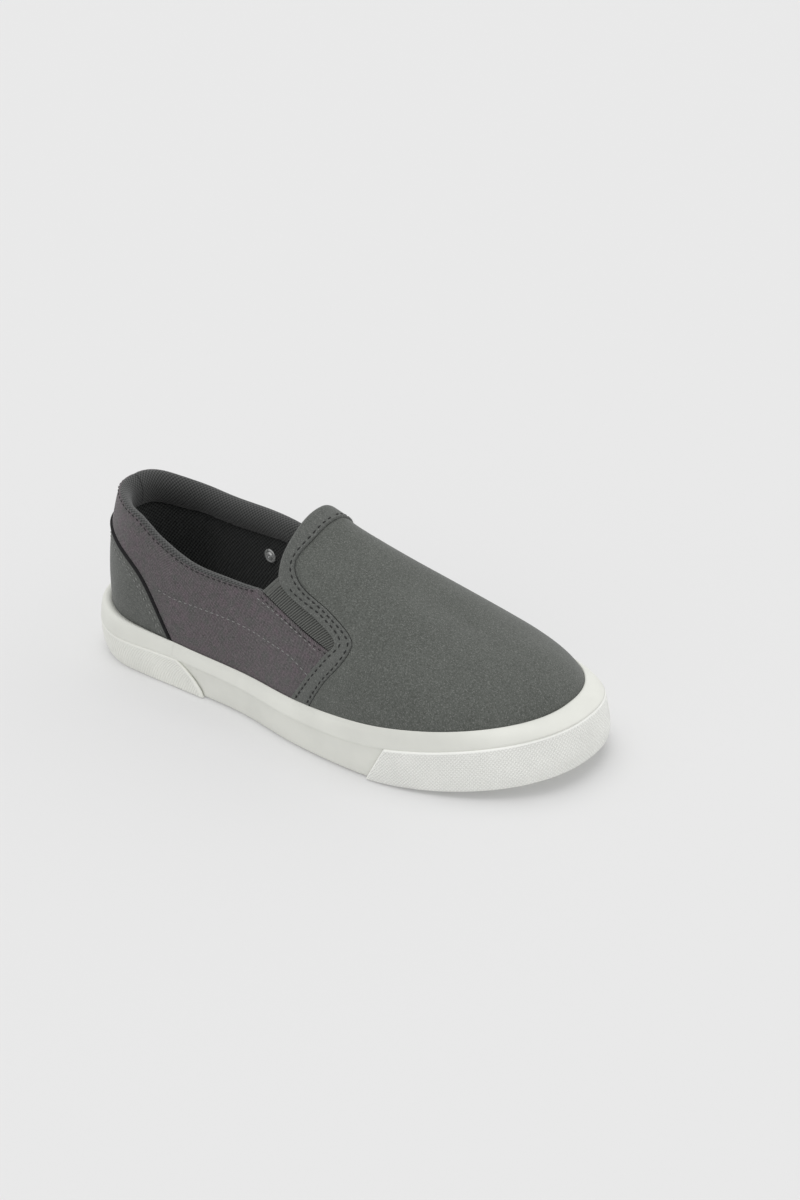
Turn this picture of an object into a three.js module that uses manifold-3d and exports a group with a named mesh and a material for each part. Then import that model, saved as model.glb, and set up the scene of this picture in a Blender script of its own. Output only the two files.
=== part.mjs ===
// A slip-on sneaker for the right foot, in millimetres.
// +X runs from heel to toe, +Y toward the inner side of the foot, +Z up, and the floor is Z = 0.
import * as THREE from 'three';
import { mergeVertices } from 'three/addons/utils/BufferGeometryUtils.js';
import Module from 'manifold-3d';

const wasm = await Module();
wasm.setup();

// Driving sizes of the shoe.
const LENGTH = 252.5;
const BALL_WIDTH = 96;
const COLLAR_HEIGHT = 76;
const INSTEP_HEIGHT = 84;
const SOLE_HEIGHT = 28.7;
const TOE_SPRING = 7.1;
const HEEL_SPRING = 1.2;
const TOE_SPRING_FROM = 0.7;
const HEEL_SPRING_TO = 0.12;
const TOE_SWING = 8.2;

// Where the middle of the outline lies, so that the shoe stands over its own origin.
const CENTRE_FORWARD = LENGTH / 2;
const CENTRE_SIDE = 2.03;

// Thicknesses, seats and clearances.
const WALL = 2;
const SEAM_GAP = 0.5;
const PANEL = 0.85;
const CLEARANCE = 0.35;
const SEAT_DEPTH = 2;
const FLOOR_TOP = 8;
const FLOOR_UNDER = 3.4;
const TREAD_PLATE = 3;
const LUG_HEIGHT = 1.6;
const WAIST_RISE = 0.9;
const INSOLE_THICKNESS = 4;
const BAND_THICKNESS = 1.3;
const BAND_BULGE = 0.45;
const BAND_DRAFT = 0.9;
const SOLE_LEDGE = 3;
const STEP_OUT = 1.5;
const STEP_LIP = 0.7;
const STEP_HOLLOW = 0.6;
const BINDING_LIFT = 0.7;
const PIPING_RADIUS = 0.8;
const ROLL_DROP = 4.5;
const ROLL_REACH = 11.2;
const FLAP_THICKNESS = 1.1;

// The outline of the sole. along is a share of LENGTH, lateral and medial are half widths and edgeIn the
// inset of the rim as shares of BALL_WIDTH, edge and step are heights as shares of SOLE_HEIGHT.
const SOLE_ROWS = [
  { along: 0.00, lateral: 0.345, medial: 0.347, edge: 0.895, edgeIn: 0.056, step: 0.54 },
  { along: 0.14, lateral: 0.377, medial: 0.349, edge: 0.787, edgeIn: 0.048, step: 0.51 },
  { along: 0.28, lateral: 0.385, medial: 0.325, edge: 0.693, edgeIn: 0.047, step: 0.485 },
  { along: 0.42, lateral: 0.408, medial: 0.302, edge: 0.645, edgeIn: 0.056, step: 0.456 },
  { along: 0.56, lateral: 0.479, medial: 0.392, edge: 0.676, edgeIn: 0.058, step: 0.46 },
  { along: 0.70, lateral: 0.515, medial: 0.480, edge: 0.815, edgeIn: 0.036, step: 0.516 },
  { along: 0.82, lateral: 0.502, medial: 0.490, edge: 0.927, edgeIn: 0.034, step: 0.645 },
  { along: 0.92, lateral: 0.481, medial: 0.491, edge: 0.983, edgeIn: 0.062, step: 0.787 },
  { along: 1.00, lateral: 0.453, medial: 0.485, edge: 1.000, edgeIn: 0.100, step: 0.906 },
];
const HEEL_ROUND = { reach: 38.6, power: 2.31 };
const TOE_ROUND = { reach: 70.6, power: 2.28 };

// The ridge that the two sides of the upper rise to. side and height are shares of BALL_WIDTH and
// INSTEP_HEIGHT, and each side has its own roundness, the power of the curve from the rim to the ridge.
const RIDGE_ROWS = [
  { along: 0.00, side: 0.021, height: 1.262, lateral: 2.00, medial: 2.00 },
  { along: 0.25, side: 0.026, height: 1.226, lateral: 2.00, medial: 2.00 },
  { along: 0.40, side: 0.031, height: 1.107, lateral: 1.95, medial: 1.95 },
  { along: 0.47, side: 0.031, height: 1.024, lateral: 1.90, medial: 1.90 },
  { along: 0.55, side: 0.036, height: 0.945, lateral: 1.88, medial: 1.80 },
  { along: 0.65, side: 0.042, height: 0.846, lateral: 1.84, medial: 1.66 },
  { along: 0.75, side: 0.050, height: 0.744, lateral: 1.80, medial: 1.56 },
  { along: 0.85, side: 0.058, height: 0.650, lateral: 1.75, medial: 1.52 },
  { along: 0.93, side: 0.066, height: 0.592, lateral: 1.68, medial: 1.54 },
  { along: 1.00, side: 0.071, height: 0.562, lateral: 1.62, medial: 1.62 },
];
const RIDGE_BACK = 0.166;
const RIDGE_FRONT = 0.84;
const RIDGE_SHORT = 0.04;

// How far the inner side leans out at the waist, as a share of BALL_WIDTH.
const LEAN_ROWS = [
  { along: 0.00, medial: 0 },
  { along: 0.15, medial: 0.010 },
  { along: 0.30, medial: 0.031 },
  { along: 0.45, medial: 0.031 },
  { along: 0.60, medial: 0.010 },
  { along: 0.75, medial: 0 },
  { along: 1.00, medial: 0 },
];

// The top of the collar, as shares of COLLAR_HEIGHT.
const COLLAR_ROWS = [
  { along: 0.00, lateral: 1.016, medial: 1.016 },
  { along: 0.05, lateral: 1.000, medial: 0.950 },
  { along: 0.09, lateral: 0.980, medial: 0.913 },
  { along: 0.14, lateral: 0.950, medial: 0.885 },
  { along: 0.20, lateral: 0.866, medial: 0.862 },
  { along: 0.28, lateral: 0.780, medial: 0.852 },
  { along: 0.36, lateral: 0.754, medial: 0.838 },
  { along: 0.43, lateral: 0.758, medial: 0.790 },
  { along: 0.455, lateral: 0.785, medial: 0.795 },
  { along: 0.50, lateral: 0.865, medial: 0.865 },
];
const THROAT_ALONG = 0.486;
const ROLL_END_ALONG = 0.438;

// The seam over the heel counter, as shares of COLLAR_HEIGHT, and the counter's front edge below it.
const COUNTER_TOP_ROWS = [
  { along: 0.00, height: 0.816 },
  { along: 0.05, height: 0.790 },
  { along: 0.105, height: 0.730 },
  { along: 0.145, height: 0.678 },
  { along: 0.178, height: 0.605 },
];
const COUNTER_CORNER = COUNTER_TOP_ROWS[COUNTER_TOP_ROWS.length - 1].along;
const COUNTER_FRONT_ROWS = [
  { up: 0.00, along: 0.247 },
  { up: 0.35, along: 0.228 },
  { up: 0.68, along: 0.206 },
  { up: 1.00, along: 0.178 },
];
const SEAM_ALONG = 0.006;
const SEAM_HEIGHT = 1.35;
const SEAM_TURN = 0.625;

// The binding from the rim, round the lower end of the elastic gore and up to the throat. Each edge
// is given as along and rise, where rise 0 is the rim and 1 the ridge.
const BINDING_ROWS = [
  { run: 0.00, rearAlong: 0.551, rearRise: 0.000, frontAlong: 0.597, frontRise: 0.000 },
  { run: 0.15, rearAlong: 0.588, rearRise: 0.155, frontAlong: 0.626, frontRise: 0.172 },
  { run: 0.28, rearAlong: 0.622, rearRise: 0.300, frontAlong: 0.661, frontRise: 0.330 },
  { run: 0.36, rearAlong: 0.640, rearRise: 0.388, frontAlong: 0.670, frontRise: 0.440 },
  { run: 0.47, rearAlong: 0.592, rearRise: 0.436, frontAlong: 0.613, frontRise: 0.502 },
  { run: 0.60, rearAlong: 0.500, rearRise: 0.468, frontAlong: 0.532, frontRise: 0.528 },
  { run: 0.69, rearAlong: 0.480, rearRise: 0.550, frontAlong: 0.504, frontRise: 0.600 },
  { run: 0.84, rearAlong: 0.484, rearRise: 0.760, frontAlong: 0.519, frontRise: 0.780 },
  { run: 1.00, rearAlong: 0.488, rearRise: 1.000, frontAlong: 0.527, frontRise: 1.000 },
];

// The elastic gore between the quarter and the binding.
const GORE_ROWS = [
  { run: 0.00, rearAlong: 0.453, rearRise: 0.401, frontAlong: 0.478, frontRise: 0.480 },
  { run: 0.33, rearAlong: 0.508, rearRise: 0.382, frontAlong: 0.536, frontRise: 0.442 },
  { run: 0.66, rearAlong: 0.569, rearRise: 0.362, frontAlong: 0.592, frontRise: 0.424 },
  { run: 1.00, rearAlong: 0.629, rearRise: 0.345, frontAlong: 0.631, frontRise: 0.370 },
];

// The two bands of the sole: where each one ends along the side, at its foot and at its top.
const TOE_BAND = { foot: 0.722, top: 0.757 };
const HEEL_BAND = { foot: 0.330, top: 0.268 };

// The flap on the inner quarter and the vent eyelet behind it. up is a share of the room under the roll.
const FLAP = { frontAlong: 0.602, rearAlong: 0.449, slant: 0.066 };
const FLAP_RISE = { frontTop: 0.328, frontFoot: 0.16, rearTop: 0.382, rearFoot: 0.2 };
const EYELET = {
  along: 0.284, up: 0.856, hole: 2.4, barrel: 2.0, flange: 3.5, bore: 0.9, plate: 0.5, dome: 0.9,
};

// The grooves across the outsole, with none under the waist.
const GROOVE = { width: 3, spacing: 11, first: 0.06, last: 0.93, skipFrom: 0.36, skipTo: 0.54 };

// Reads one column of a table at a share of the length, with a smooth curve through the rows.
function read(rows, column, at, key = 'along') {
  const last = rows.length - 1;
  const x = Math.min(Math.max(at, rows[0][key]), rows[last][key]);
  let i = 0;
  while (i < last - 1 && x > rows[i + 1][key]) i += 1;
  const slope = (k) => {
    const low = rows[Math.max(k - 1, 0)];
    const high = rows[Math.min(k + 1, last)];
    return (high[column] - low[column]) / (high[key] - low[key]);
  };
  const width = rows[i + 1][key] - rows[i][key];
  const t = (x - rows[i][key]) / width;
  const a = (2 * t ** 3 - 3 * t ** 2 + 1) * rows[i][column];
  const b = (t ** 3 - 2 * t ** 2 + t) * width * slope(i);
  const c = (-2 * t ** 3 + 3 * t ** 2) * rows[i + 1][column];
  const d = (t ** 3 - t ** 2) * width * slope(i + 1);
  return a + b + c + d;
}

const mix = (a, b, t) => a + (b - a) * t;
const clamp = (value, low, high) => Math.min(Math.max(value, low), high);

// A station runs from 0 at the heel to 1 at the toe and is closer spaced at both ends.
const alongAt = (station) => (1 - Math.cos(Math.PI * clamp(station, 0, 1))) / 2;
const stationAt = (along) => Math.acos(1 - 2 * clamp(along, 0, 1)) / Math.PI;

function springAt(along) {
  const toe = clamp((along - TOE_SPRING_FROM) / (1 - TOE_SPRING_FROM), 0, 1) ** 2 * TOE_SPRING;
  const heel = clamp(1 - along / HEEL_SPRING_TO, 0, 1) ** 2 * HEEL_SPRING;
  return toe + heel;
}

function bareOutline(side, station) {
  const along = alongAt(station);
  const forward = along * LENGTH;
  const width = read(SOLE_ROWS, side < 0 ? 'lateral' : 'medial', along) * BALL_WIDTH;
  const heel = clamp(1 - forward / HEEL_ROUND.reach, 0, 1) ** HEEL_ROUND.power;
  const toe = clamp(1 - (LENGTH - forward) / TOE_ROUND.reach, 0, 1) ** TOE_ROUND.power;
  const round = (1 - heel) ** (1 / HEEL_ROUND.power) * (1 - toe) ** (1 / TOE_ROUND.power);
  return [forward, TOE_SWING * along ** 3 + side * width * round];
}

// The outline in plan, moved in by an inset. side is -1 on the outer side of the foot, +1 on the inner.
function outline(side, station, inset) {
  const [x, y] = bareOutline(side, station);
  if (station <= 0) return [x + inset, y];
  if (station >= 1) return [x - inset, y];
  const before = bareOutline(side, Math.max(station - 1e-4, 0));
  const after = bareOutline(side, Math.min(station + 1e-4, 1));
  const dx = after[0] - before[0];
  const dy = after[1] - before[1];
  const length = Math.hypot(dx, dy);
  return [x + (dy / length) * side * inset, y - (dx / length) * side * inset];
}

const rimHeight = (along) => read(SOLE_ROWS, 'edge', along) * SOLE_HEIGHT;
const rimInset = (along) => read(SOLE_ROWS, 'edgeIn', along) * BALL_WIDTH;
const seatInset = (along) => rimInset(along) + SEAM_GAP + PANEL + CLEARANCE;
const ridgeHeight = (along) => read(RIDGE_ROWS, 'height', along) * INSTEP_HEIGHT;
const collarHeight = (side, along) =>
  read(COLLAR_ROWS, side < 0 ? 'lateral' : 'medial', along) * COLLAR_HEIGHT;

// The top edge of the wall: under the roll, then up to the throat.
function edgeHeight(side, along) {
  const share = clamp((along - ROLL_END_ALONG) / (THROAT_ALONG - ROLL_END_ALONG), 0, 1);
  return collarHeight(side, along) - ROLL_DROP * (1 - share);
}

const roundness = (side, along) => read(RIDGE_ROWS, side < 0 ? 'lateral' : 'medial', along);

// The outer face of the upper's wall.
function wallPoint(side, station, rise) {
  const along = alongAt(station);
  const [x, y] = outline(side, station, seatInset(along));
  const z = rimHeight(along) - SEAT_DEPTH;
  const shorter = RIDGE_SHORT * clamp(2 * along - 1, 0, 1) ** 2;
  const ridgeX = (mix(RIDGE_BACK, RIDGE_FRONT, along) - shorter) * LENGTH;
  const ridgeY = read(RIDGE_ROWS, 'side', along) * BALL_WIDTH;
  const power = 2 / roundness(side, along);
  const angle = clamp(rise, 0, 1) * Math.PI / 2;
  const inward = 1 - Math.max(Math.cos(angle), 0) ** power;
  const upward = Math.sin(angle) ** power;
  const outward = side > 0 ? read(LEAN_ROWS, 'medial', along) * BALL_WIDTH : 0;
  const lean = outward * Math.sin(Math.PI * upward);
  return new THREE.Vector3(
    mix(x, ridgeX, inward),
    mix(y, ridgeY, inward) + side * lean,
    mix(z, ridgeHeight(along), upward),
  );
}

// The rise at which the wall reaches a height.
function riseAt(side, station, height) {
  const along = alongAt(station);
  const low = rimHeight(along) - SEAT_DEPTH;
  const share = clamp((height - low) / (ridgeHeight(along) - low), 0, 1);
  return Math.asin(share ** (roundness(side, along) / 2)) * 2 / Math.PI;
}

// The outward direction of the wall. On the middle line it has no sideways part.
function wallNormal(side, station, rise) {
  const s0 = clamp(station - 0.004, 0, 1);
  const s1 = clamp(station + 0.004, 0, 1);
  const r0 = clamp(rise - 0.01, 0, 1);
  const r1 = clamp(rise + 0.01, 0, 1);
  if (rise >= 1) {
    const run = wallPoint(side, s1, 1).sub(wallPoint(side, s0, 1));
    return new THREE.Vector3(-run.z, 0, run.x).normalize();
  }
  const up = wallPoint(side, station, r1).sub(wallPoint(side, station, r0));
  if (station <= 0) return new THREE.Vector3(-up.z, 0, up.x).normalize();
  if (station >= 1) return new THREE.Vector3(up.z, 0, -up.x).normalize();
  const run = wallPoint(side, s1, rise).sub(wallPoint(side, s0, rise));
  const normal = run.cross(up).multiplyScalar(-side);
  if (rise <= 0) normal.z = 0;
  return normal.normalize();
}

function skin(side, station, rise, offset, drop = 0) {
  const point = wallPoint(side, station, rise);
  point.addScaledVector(wallNormal(side, station, rise), offset);
  point.z -= drop;
  return point;
}

// Builds one closed body from rows of cells that share corners. place(i, j, layer) gives a corner
// on the outer layer (1) or the inner layer (0), and has(i, j) says which cells exist.
function thicken(columns, rows, place, has = () => true) {
  const points = [];
  const ids = new Map();
  const corner = (i, j) => {
    const outer = place(i, j, 1);
    const key = [outer.x, outer.y, outer.z].map((v) => Math.round(v * 1e4)).join(' ');
    if (!ids.has(key)) {
      ids.set(key, points.length / 2);
      points.push(outer, place(i, j, 0));
    }
    return ids.get(key);
  };
  const faces = [];
  const edges = new Map();
  for (let i = 0; i < columns; i += 1) {
    for (let j = 0; j < rows; j += 1) {
      if (!has(i, j)) continue;
      const ring = [corner(i, j), corner(i + 1, j), corner(i + 1, j + 1), corner(i, j + 1)];
      const loop = ring.filter((id, k) => id !== ring[(k + 3) % 4]);
      for (let k = 1; k + 1 < loop.length; k += 1) {
        faces.push([loop[0] * 2, loop[k] * 2, loop[k + 1] * 2]);
        faces.push([loop[0] * 2 + 1, loop[k + 1] * 2 + 1, loop[k] * 2 + 1]);
      }
      loop.forEach((id, k) => {
        const next = loop[(k + 1) % loop.length];
        edges.set(`${id} ${next}`, [id, next]);
      });
    }
  }
  for (const [a, b] of edges.values()) {
    if (edges.has(`${b} ${a}`)) continue;
    faces.push([b * 2, a * 2, a * 2 + 1]);
    faces.push([b * 2, a * 2 + 1, b * 2 + 1]);
  }
  return solid(points, faces);
}

// Joins rings of points into an open tube. What calls it closes the two ends.
function tube(rings) {
  const size = rings[0].length;
  const points = rings.flat();
  const faces = [];
  for (let i = 0; i + 1 < rings.length; i += 1) {
    const next = i + 1;
    for (let k = 0; k < size; k += 1) {
      const m = (k + 1) % size;
      faces.push([i * size + k, next * size + k, next * size + m]);
      faces.push([i * size + k, next * size + m, i * size + m]);
    }
  }
  return { points, faces, size, last: (rings.length - 1) * size };
}

// Turns points and triangles into a geometry with its faces pointing out.
function solid(points, faces) {
  let volume = 0;
  for (const [a, b, c] of faces) {
    volume += points[a].dot(points[b].clone().cross(points[c]));
  }
  const index = volume > 0 ? faces : faces.map(([a, b, c]) => [a, c, b]);
  const geometry = new THREE.BufferGeometry();
  const places = points.flatMap((p) => [p.x, p.y, p.z]);
  geometry.setAttribute('position', new THREE.Float32BufferAttribute(places, 3));
  geometry.setIndex(index.flat());
  return geometry;
}

function toManifold(geometry) {
  const bare = geometry.clone();
  bare.deleteAttribute('normal');
  bare.deleteAttribute('uv');
  const welded = mergeVertices(bare, 1e-4);
  return new wasm.Manifold(new wasm.Mesh({
    numProp: 3,
    vertProperties: new Float32Array(welded.attributes.position.array),
    triVerts: new Uint32Array(welded.index.array),
  }));
}

function fromManifold(body) {
  const mesh = body.getMesh();
  const geometry = new THREE.BufferGeometry();
  geometry.setAttribute('position', new THREE.BufferAttribute(new Float32Array(mesh.vertProperties), 3));
  geometry.setIndex(Array.from(mesh.triVerts));
  return geometry;
}

// The stations round the whole shoe: up the outer side from the heel, and back down the inner side.
function around(count) {
  const list = [];
  for (let i = 0; i <= count; i += 1) list.push({ side: -1, station: i / count });
  for (let i = count - 1; i >= 0; i -= 1) list.push({ side: 1, station: i / count });
  return list;
}

// A body of the sole: rings of the outline, each with an inset and a height, capped at both ends.
function loft(count, levels) {
  const loop = around(count).slice(0, -1);
  const rings = levels.map((level) => loop.map(({ side, station }) => {
    const along = alongAt(station);
    const [x, y] = outline(side, station, level.inset(along));
    return new THREE.Vector3(x, y, level.height(along));
  }));
  const { points, faces, size, last } = tube(rings);
  for (const [start, turn] of [[0, -1], [last, 1]]) {
    for (let i = 0; i < count; i += 1) {
      const a = start + i;
      const b = start + i + 1;
      const c = start + (size - i) % size;
      const d = start + (size - i - 1);
      const pair = [[a, d, b], [a, c, d]].filter((face) => new Set(face).size === 3);
      for (const face of pair) faces.push(turn > 0 ? face : [face[0], face[2], face[1]]);
    }
  }
  return solid(points, faces);
}

const group = new THREE.Group();

function add(name, geometry, colour, roughness, metalness = 0) {
  const material = new THREE.MeshStandardMaterial({ color: colour, roughness, metalness });
  const mesh = new THREE.Mesh(geometry, material);
  mesh.name = name;
  mesh.position.set(-CENTRE_FORWARD, -CENTRE_SIDE, 0);
  group.add(mesh);
}

const GREY_SUEDE = 0x5f615d;
const MAUVE_CANVAS = 0x575254;
const ELASTIC = 0x50514e;
const DARK_LINING = 0x2f3130;
const RUBBER = 0xdcdcd4;

// The upper's wall: one hollow body, open at the collar and throat and underneath.
const COLUMNS = 34;
const COLLAR_ROW = 6;
const TOP_ROW = 12;
const ring = around(COLUMNS);
const throatStation = stationAt(THROAT_ALONG);
const throatColumn = Math.round(throatStation * COLUMNS);
for (const spot of ring) {
  const column = Math.round(spot.station * COLUMNS);
  const behind = column <= throatColumn;
  const share = behind ? column / throatColumn : (column - throatColumn) / (COLUMNS - throatColumn);
  spot.station = behind ? share * throatStation : mix(throatStation, 1, share);
  const edge = riseAt(spot.side, spot.station, edgeHeight(spot.side, alongAt(spot.station)));
  const throatRise = riseAt(spot.side, throatStation, collarHeight(spot.side, THROAT_ALONG));
  spot.collar = behind ? edge : mix(throatRise, 0.5, share);
  spot.behind = behind;
}
const wallRise = (spot, j) => {
  if (j <= 1) return 0;
  if (j <= COLLAR_ROW) return spot.collar * (j - 1) / (COLLAR_ROW - 1);
  return mix(spot.collar, 1, (j - COLLAR_ROW) / (TOP_ROW - COLLAR_ROW));
};
const placeWall = (i, j, layer) => {
  const spot = ring[i];
  const along = alongAt(spot.station);
  const depth = rimHeight(along) - SEAT_DEPTH - FLOOR_TOP - springAt(along) - CLEARANCE;
  return skin(spot.side, spot.station, wallRise(spot, j), layer ? 0 : -WALL, j === 0 ? depth : 0);
};
const isWall = (i, j) => j < COLLAR_ROW || (!ring[i].behind || !ring[i + 1].behind);
let upper = toManifold(thicken(2 * COLUMNS, TOP_ROW, placeWall, isWall));

// Panels sewn over the wall, each one cut from the wall's own surface.
function panel(columns, rows, spotAt, low = SEAM_GAP, high = SEAM_GAP + PANEL) {
  return thicken(columns, rows, (i, j, layer) => {
    const { side, station, rise, lift = 0 } = spotAt(i, j);
    return skin(side, station, rise, layer ? high + lift : low);
  });
}

function bindingEdge(edge, run, gap = 0) {
  const along = read(BINDING_ROWS, `${edge}Along`, run, 'run') + gap;
  const rise = read(BINDING_ROWS, `${edge}Rise`, run, 'run');
  return { station: stationAt(along), rise: run >= 1 ? 1 : clamp(rise, 0, 1) };
}

// The vamp, from the binding forward over the toe, both sides in one piece.
const RUN_STEPS = [0, 0.1, 0.19, 0.28, 0.33, 0.37, 0.42, 0.47, 0.53, 0.6, 0.645, 0.69, 0.76, 0.84, 0.92, 1];
const VAMP_COLUMNS = 15;
const VAMP_ROWS = RUN_STEPS.length - 1;
const vamp = panel(2 * VAMP_COLUMNS, VAMP_ROWS, (i, j) => {
  const run = RUN_STEPS[j];
  const side = i <= VAMP_COLUMNS ? -1 : 1;
  const forward = 1 - Math.abs(i - VAMP_COLUMNS) / VAMP_COLUMNS;
  const start = bindingEdge('front', run, SEAM_ALONG / 2);
  const lift = 0.008 * Math.sin(Math.PI * run);
  return { side, station: mix(start.station, 1, forward), rise: mix(start.rise + lift, run, forward) };
});
add('vamp', vamp, GREY_SUEDE, 0.85);

// The binding strip, up one side, across the throat and down the other.
const binding = panel(2 * VAMP_ROWS, 1, (i, j) => {
  const side = i <= VAMP_ROWS ? -1 : 1;
  const run = RUN_STEPS[VAMP_ROWS - Math.abs(i - VAMP_ROWS)];
  const lift = BINDING_LIFT * clamp(run / 0.15, 0, 1);
  return { side, lift, ...bindingEdge(j === 0 ? 'front' : 'rear', run) };
});
add('throat_binding', binding, GREY_SUEDE, 0.8);

function counterTop(along, gap) {
  return read(COUNTER_TOP_ROWS, 'height', along) * COLLAR_HEIGHT + gap;
}

// The heel counter, round the back of the heel in one piece.
const COUNTER_COLUMNS = 8;
const COUNTER_ROWS = 5;
const counter = panel(2 * COUNTER_COLUMNS, COUNTER_ROWS, (i, j) => {
  const side = i < COUNTER_COLUMNS ? -1 : 1;
  const out = Math.abs(i - COUNTER_COLUMNS) / COUNTER_COLUMNS;
  const up = j / COUNTER_ROWS;
  const station = out * stationAt(read(COUNTER_FRONT_ROWS, 'along', up, 'up') - SEAM_ALONG);
  const top = counterTop(alongAt(out * stationAt(COUNTER_CORNER)), -SEAM_HEIGHT);
  const foot = rimHeight(alongAt(station)) - SEAT_DEPTH;
  return { side, station, rise: up === 0 ? 0 : riseAt(side, station, mix(foot, top, up)) };
});
add('heel_counter', counter, GREY_SUEDE, 0.8);

// A quarter on each side: over the counter, forward to the gore and the binding, and down to the rim.
const QUARTER_COLUMNS = 20;
const QUARTER_ROWS = 5;
const QUARTER_TURN = 0.4;
const QUARTER_CORNER = 0.72;
const QUARTER_FOOT_FRONT = 0.544;
const QUARTER_PEAK = { along: 0.624, rise: 0.335 };
const BACK_SEAM_STATION = 0.012;
function quarterFoot(side, across) {
  if (across > QUARTER_TURN) {
    const share = (across - QUARTER_TURN) / (1 - QUARTER_TURN);
    const start = stationAt(COUNTER_FRONT_ROWS[0].along + SEAM_ALONG);
    return { station: mix(start, stationAt(QUARTER_FOOT_FRONT), share), rise: 0 };
  }
  const share = across / QUARTER_TURN;
  if (share < SEAM_TURN) {
    const station = share / SEAM_TURN * stationAt(COUNTER_CORNER);
    return { station, rise: riseAt(side, station, counterTop(alongAt(station), SEAM_HEIGHT)) };
  }
  const up = 1 - (share - SEAM_TURN) / (1 - SEAM_TURN);
  const station = stationAt(read(COUNTER_FRONT_ROWS, 'along', up, 'up') + SEAM_ALONG);
  const low = rimHeight(alongAt(station)) - SEAT_DEPTH;
  return { station, rise: riseAt(side, station, mix(low, counterTop(COUNTER_CORNER, SEAM_HEIGHT), up)) };
}
function quarterTop(side, across) {
  if (across <= QUARTER_CORNER) {
    const middle = stationAt(COUNTER_FRONT_ROWS[0].along);
    const station = across < QUARTER_TURN
      ? middle * (across / QUARTER_TURN) ** 0.7
      : mix(middle, stationAt(ROLL_END_ALONG), (across - QUARTER_TURN) / (QUARTER_CORNER - QUARTER_TURN));
    return { station, rise: riseAt(side, station, edgeHeight(side, alongAt(station))) };
  }
  const share = (across - QUARTER_CORNER) / (1 - QUARTER_CORNER);
  const along = mix(read(GORE_ROWS, 'rearAlong', 0, 'run') - SEAM_ALONG, QUARTER_PEAK.along, share);
  const rise = read(GORE_ROWS, 'rearRise', share, 'run') - 0.012;
  return { station: stationAt(along), rise: mix(rise, QUARTER_PEAK.rise, share ** 4) };
}
function quarter(side) {
  return panel(QUARTER_COLUMNS, QUARTER_ROWS, (i, j) => {
    const across = i / QUARTER_COLUMNS;
    const foot = quarterFoot(side, across);
    const top = quarterTop(side, across);
    const up = j / QUARTER_ROWS;
    const station = Math.max(mix(foot.station, top.station, up), BACK_SEAM_STATION);
    return { side, station, rise: mix(foot.rise, top.rise, up) };
  });
}

// The elastic gores.
const GORE_COLUMNS = 7;
function gore(side) {
  return panel(GORE_COLUMNS, 2, (i, j) => {
    const run = i / GORE_COLUMNS;
    const across = j / 2;
    const at = (column) => read(GORE_ROWS, column, run, 'run');
    const along = mix(at('rearAlong'), at('frontAlong'), across);
    const rise = mix(at('rearRise'), at('frontRise'), across);
    return { side, station: stationAt(along), rise };
  }, SEAM_GAP, SEAM_GAP + PANEL * 0.6);
}
for (const [name, side] of [['lateral', -1], ['medial', 1]]) {
  add(`gore_${name}`, gore(side), ELASTIC, 0.95);
}

// A section carried round the collar or along a seam, in the wall's own outward and upward directions.
function carry(path, section, upright = true) {
  const spots = path.map(({ side, station, rise }) => wallPoint(side, station, rise));
  const rings = path.map(({ side, station, rise }, i) => {
    const point = spots[i];
    const out = wallNormal(side, station, rise);
    const ahead = spots[Math.min(i + 1, spots.length - 1)].clone().sub(spots[Math.max(i - 1, 0)]);
    const up = upright
      ? wallPoint(side, station, rise + 0.01).sub(wallPoint(side, station, rise - 0.01))
      : out.clone().cross(ahead);
    if (upright && station <= 0) up.y = 0;
    up.addScaledVector(out, -up.dot(out)).normalize();
    return section.map(([o, h]) => {
      if (h < -PIPING_RADIUS) return skin(side, station, riseAt(side, station, point.z + h * up.z), o);
      return point.clone().addScaledVector(out, o).addScaledVector(up, h);
    });
  });
  const { points, faces, size, last } = tube(rings);
  const flat = section.map(([o, h]) => new THREE.Vector2(o, h));
  for (const [a, b, c] of THREE.ShapeUtils.triangulateShape(flat, [])) {
    faces.push([a, b, c]);
    faces.push([last + a, last + c, last + b]);
  }
  return solid(points, orient(points, faces, size));
}

// Turns the end faces so that they agree with the tube's own faces.
function orient(points, faces, size) {
  const open = new Set();
  for (const [a, b, c] of faces.slice(0, -2 * (size - 2))) {
    for (const [p, q] of [[a, b], [b, c], [c, a]]) open.add(`${p} ${q}`);
  }
  const ends = faces.slice(-2 * (size - 2));
  const clash = ends.some(([a, b, c]) => [[a, b], [b, c], [c, a]].some(([p, q]) => open.has(`${p} ${q}`)));
  return clash ? [...faces.slice(0, -2 * (size - 2)), ...ends.map(([a, b, c]) => [a, c, b])] : faces;
}

// The padded collar, a soft roll over the wall's edge that reaches down inside.
const ROLL_SECTION = [
  [0.9, 0.4], [1.5, 1.6], [1.1, 3.4], [-0.6, 4.7], [-3.2, 4.9], [-5.6, 3.2], [-7.0, 0], [-7.2, -4],
  [-6.2, -8.4], [-3.6, -ROLL_REACH], [-2.5, 0.6 - ROLL_REACH], [-2.6, 0.4],
];
const rollPath = ring
  .filter(({ station }) => alongAt(station) <= ROLL_END_ALONG)
  .map(({ side, station, collar }) => ({ side, station, rise: collar }));
const half = rollPath.findIndex(({ side }) => side > 0);
const rollRound = [...rollPath.slice(half), ...rollPath.slice(1, half)];
add('collar_roll', carry(rollRound, ROLL_SECTION), DARK_LINING, 0.95);

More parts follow.
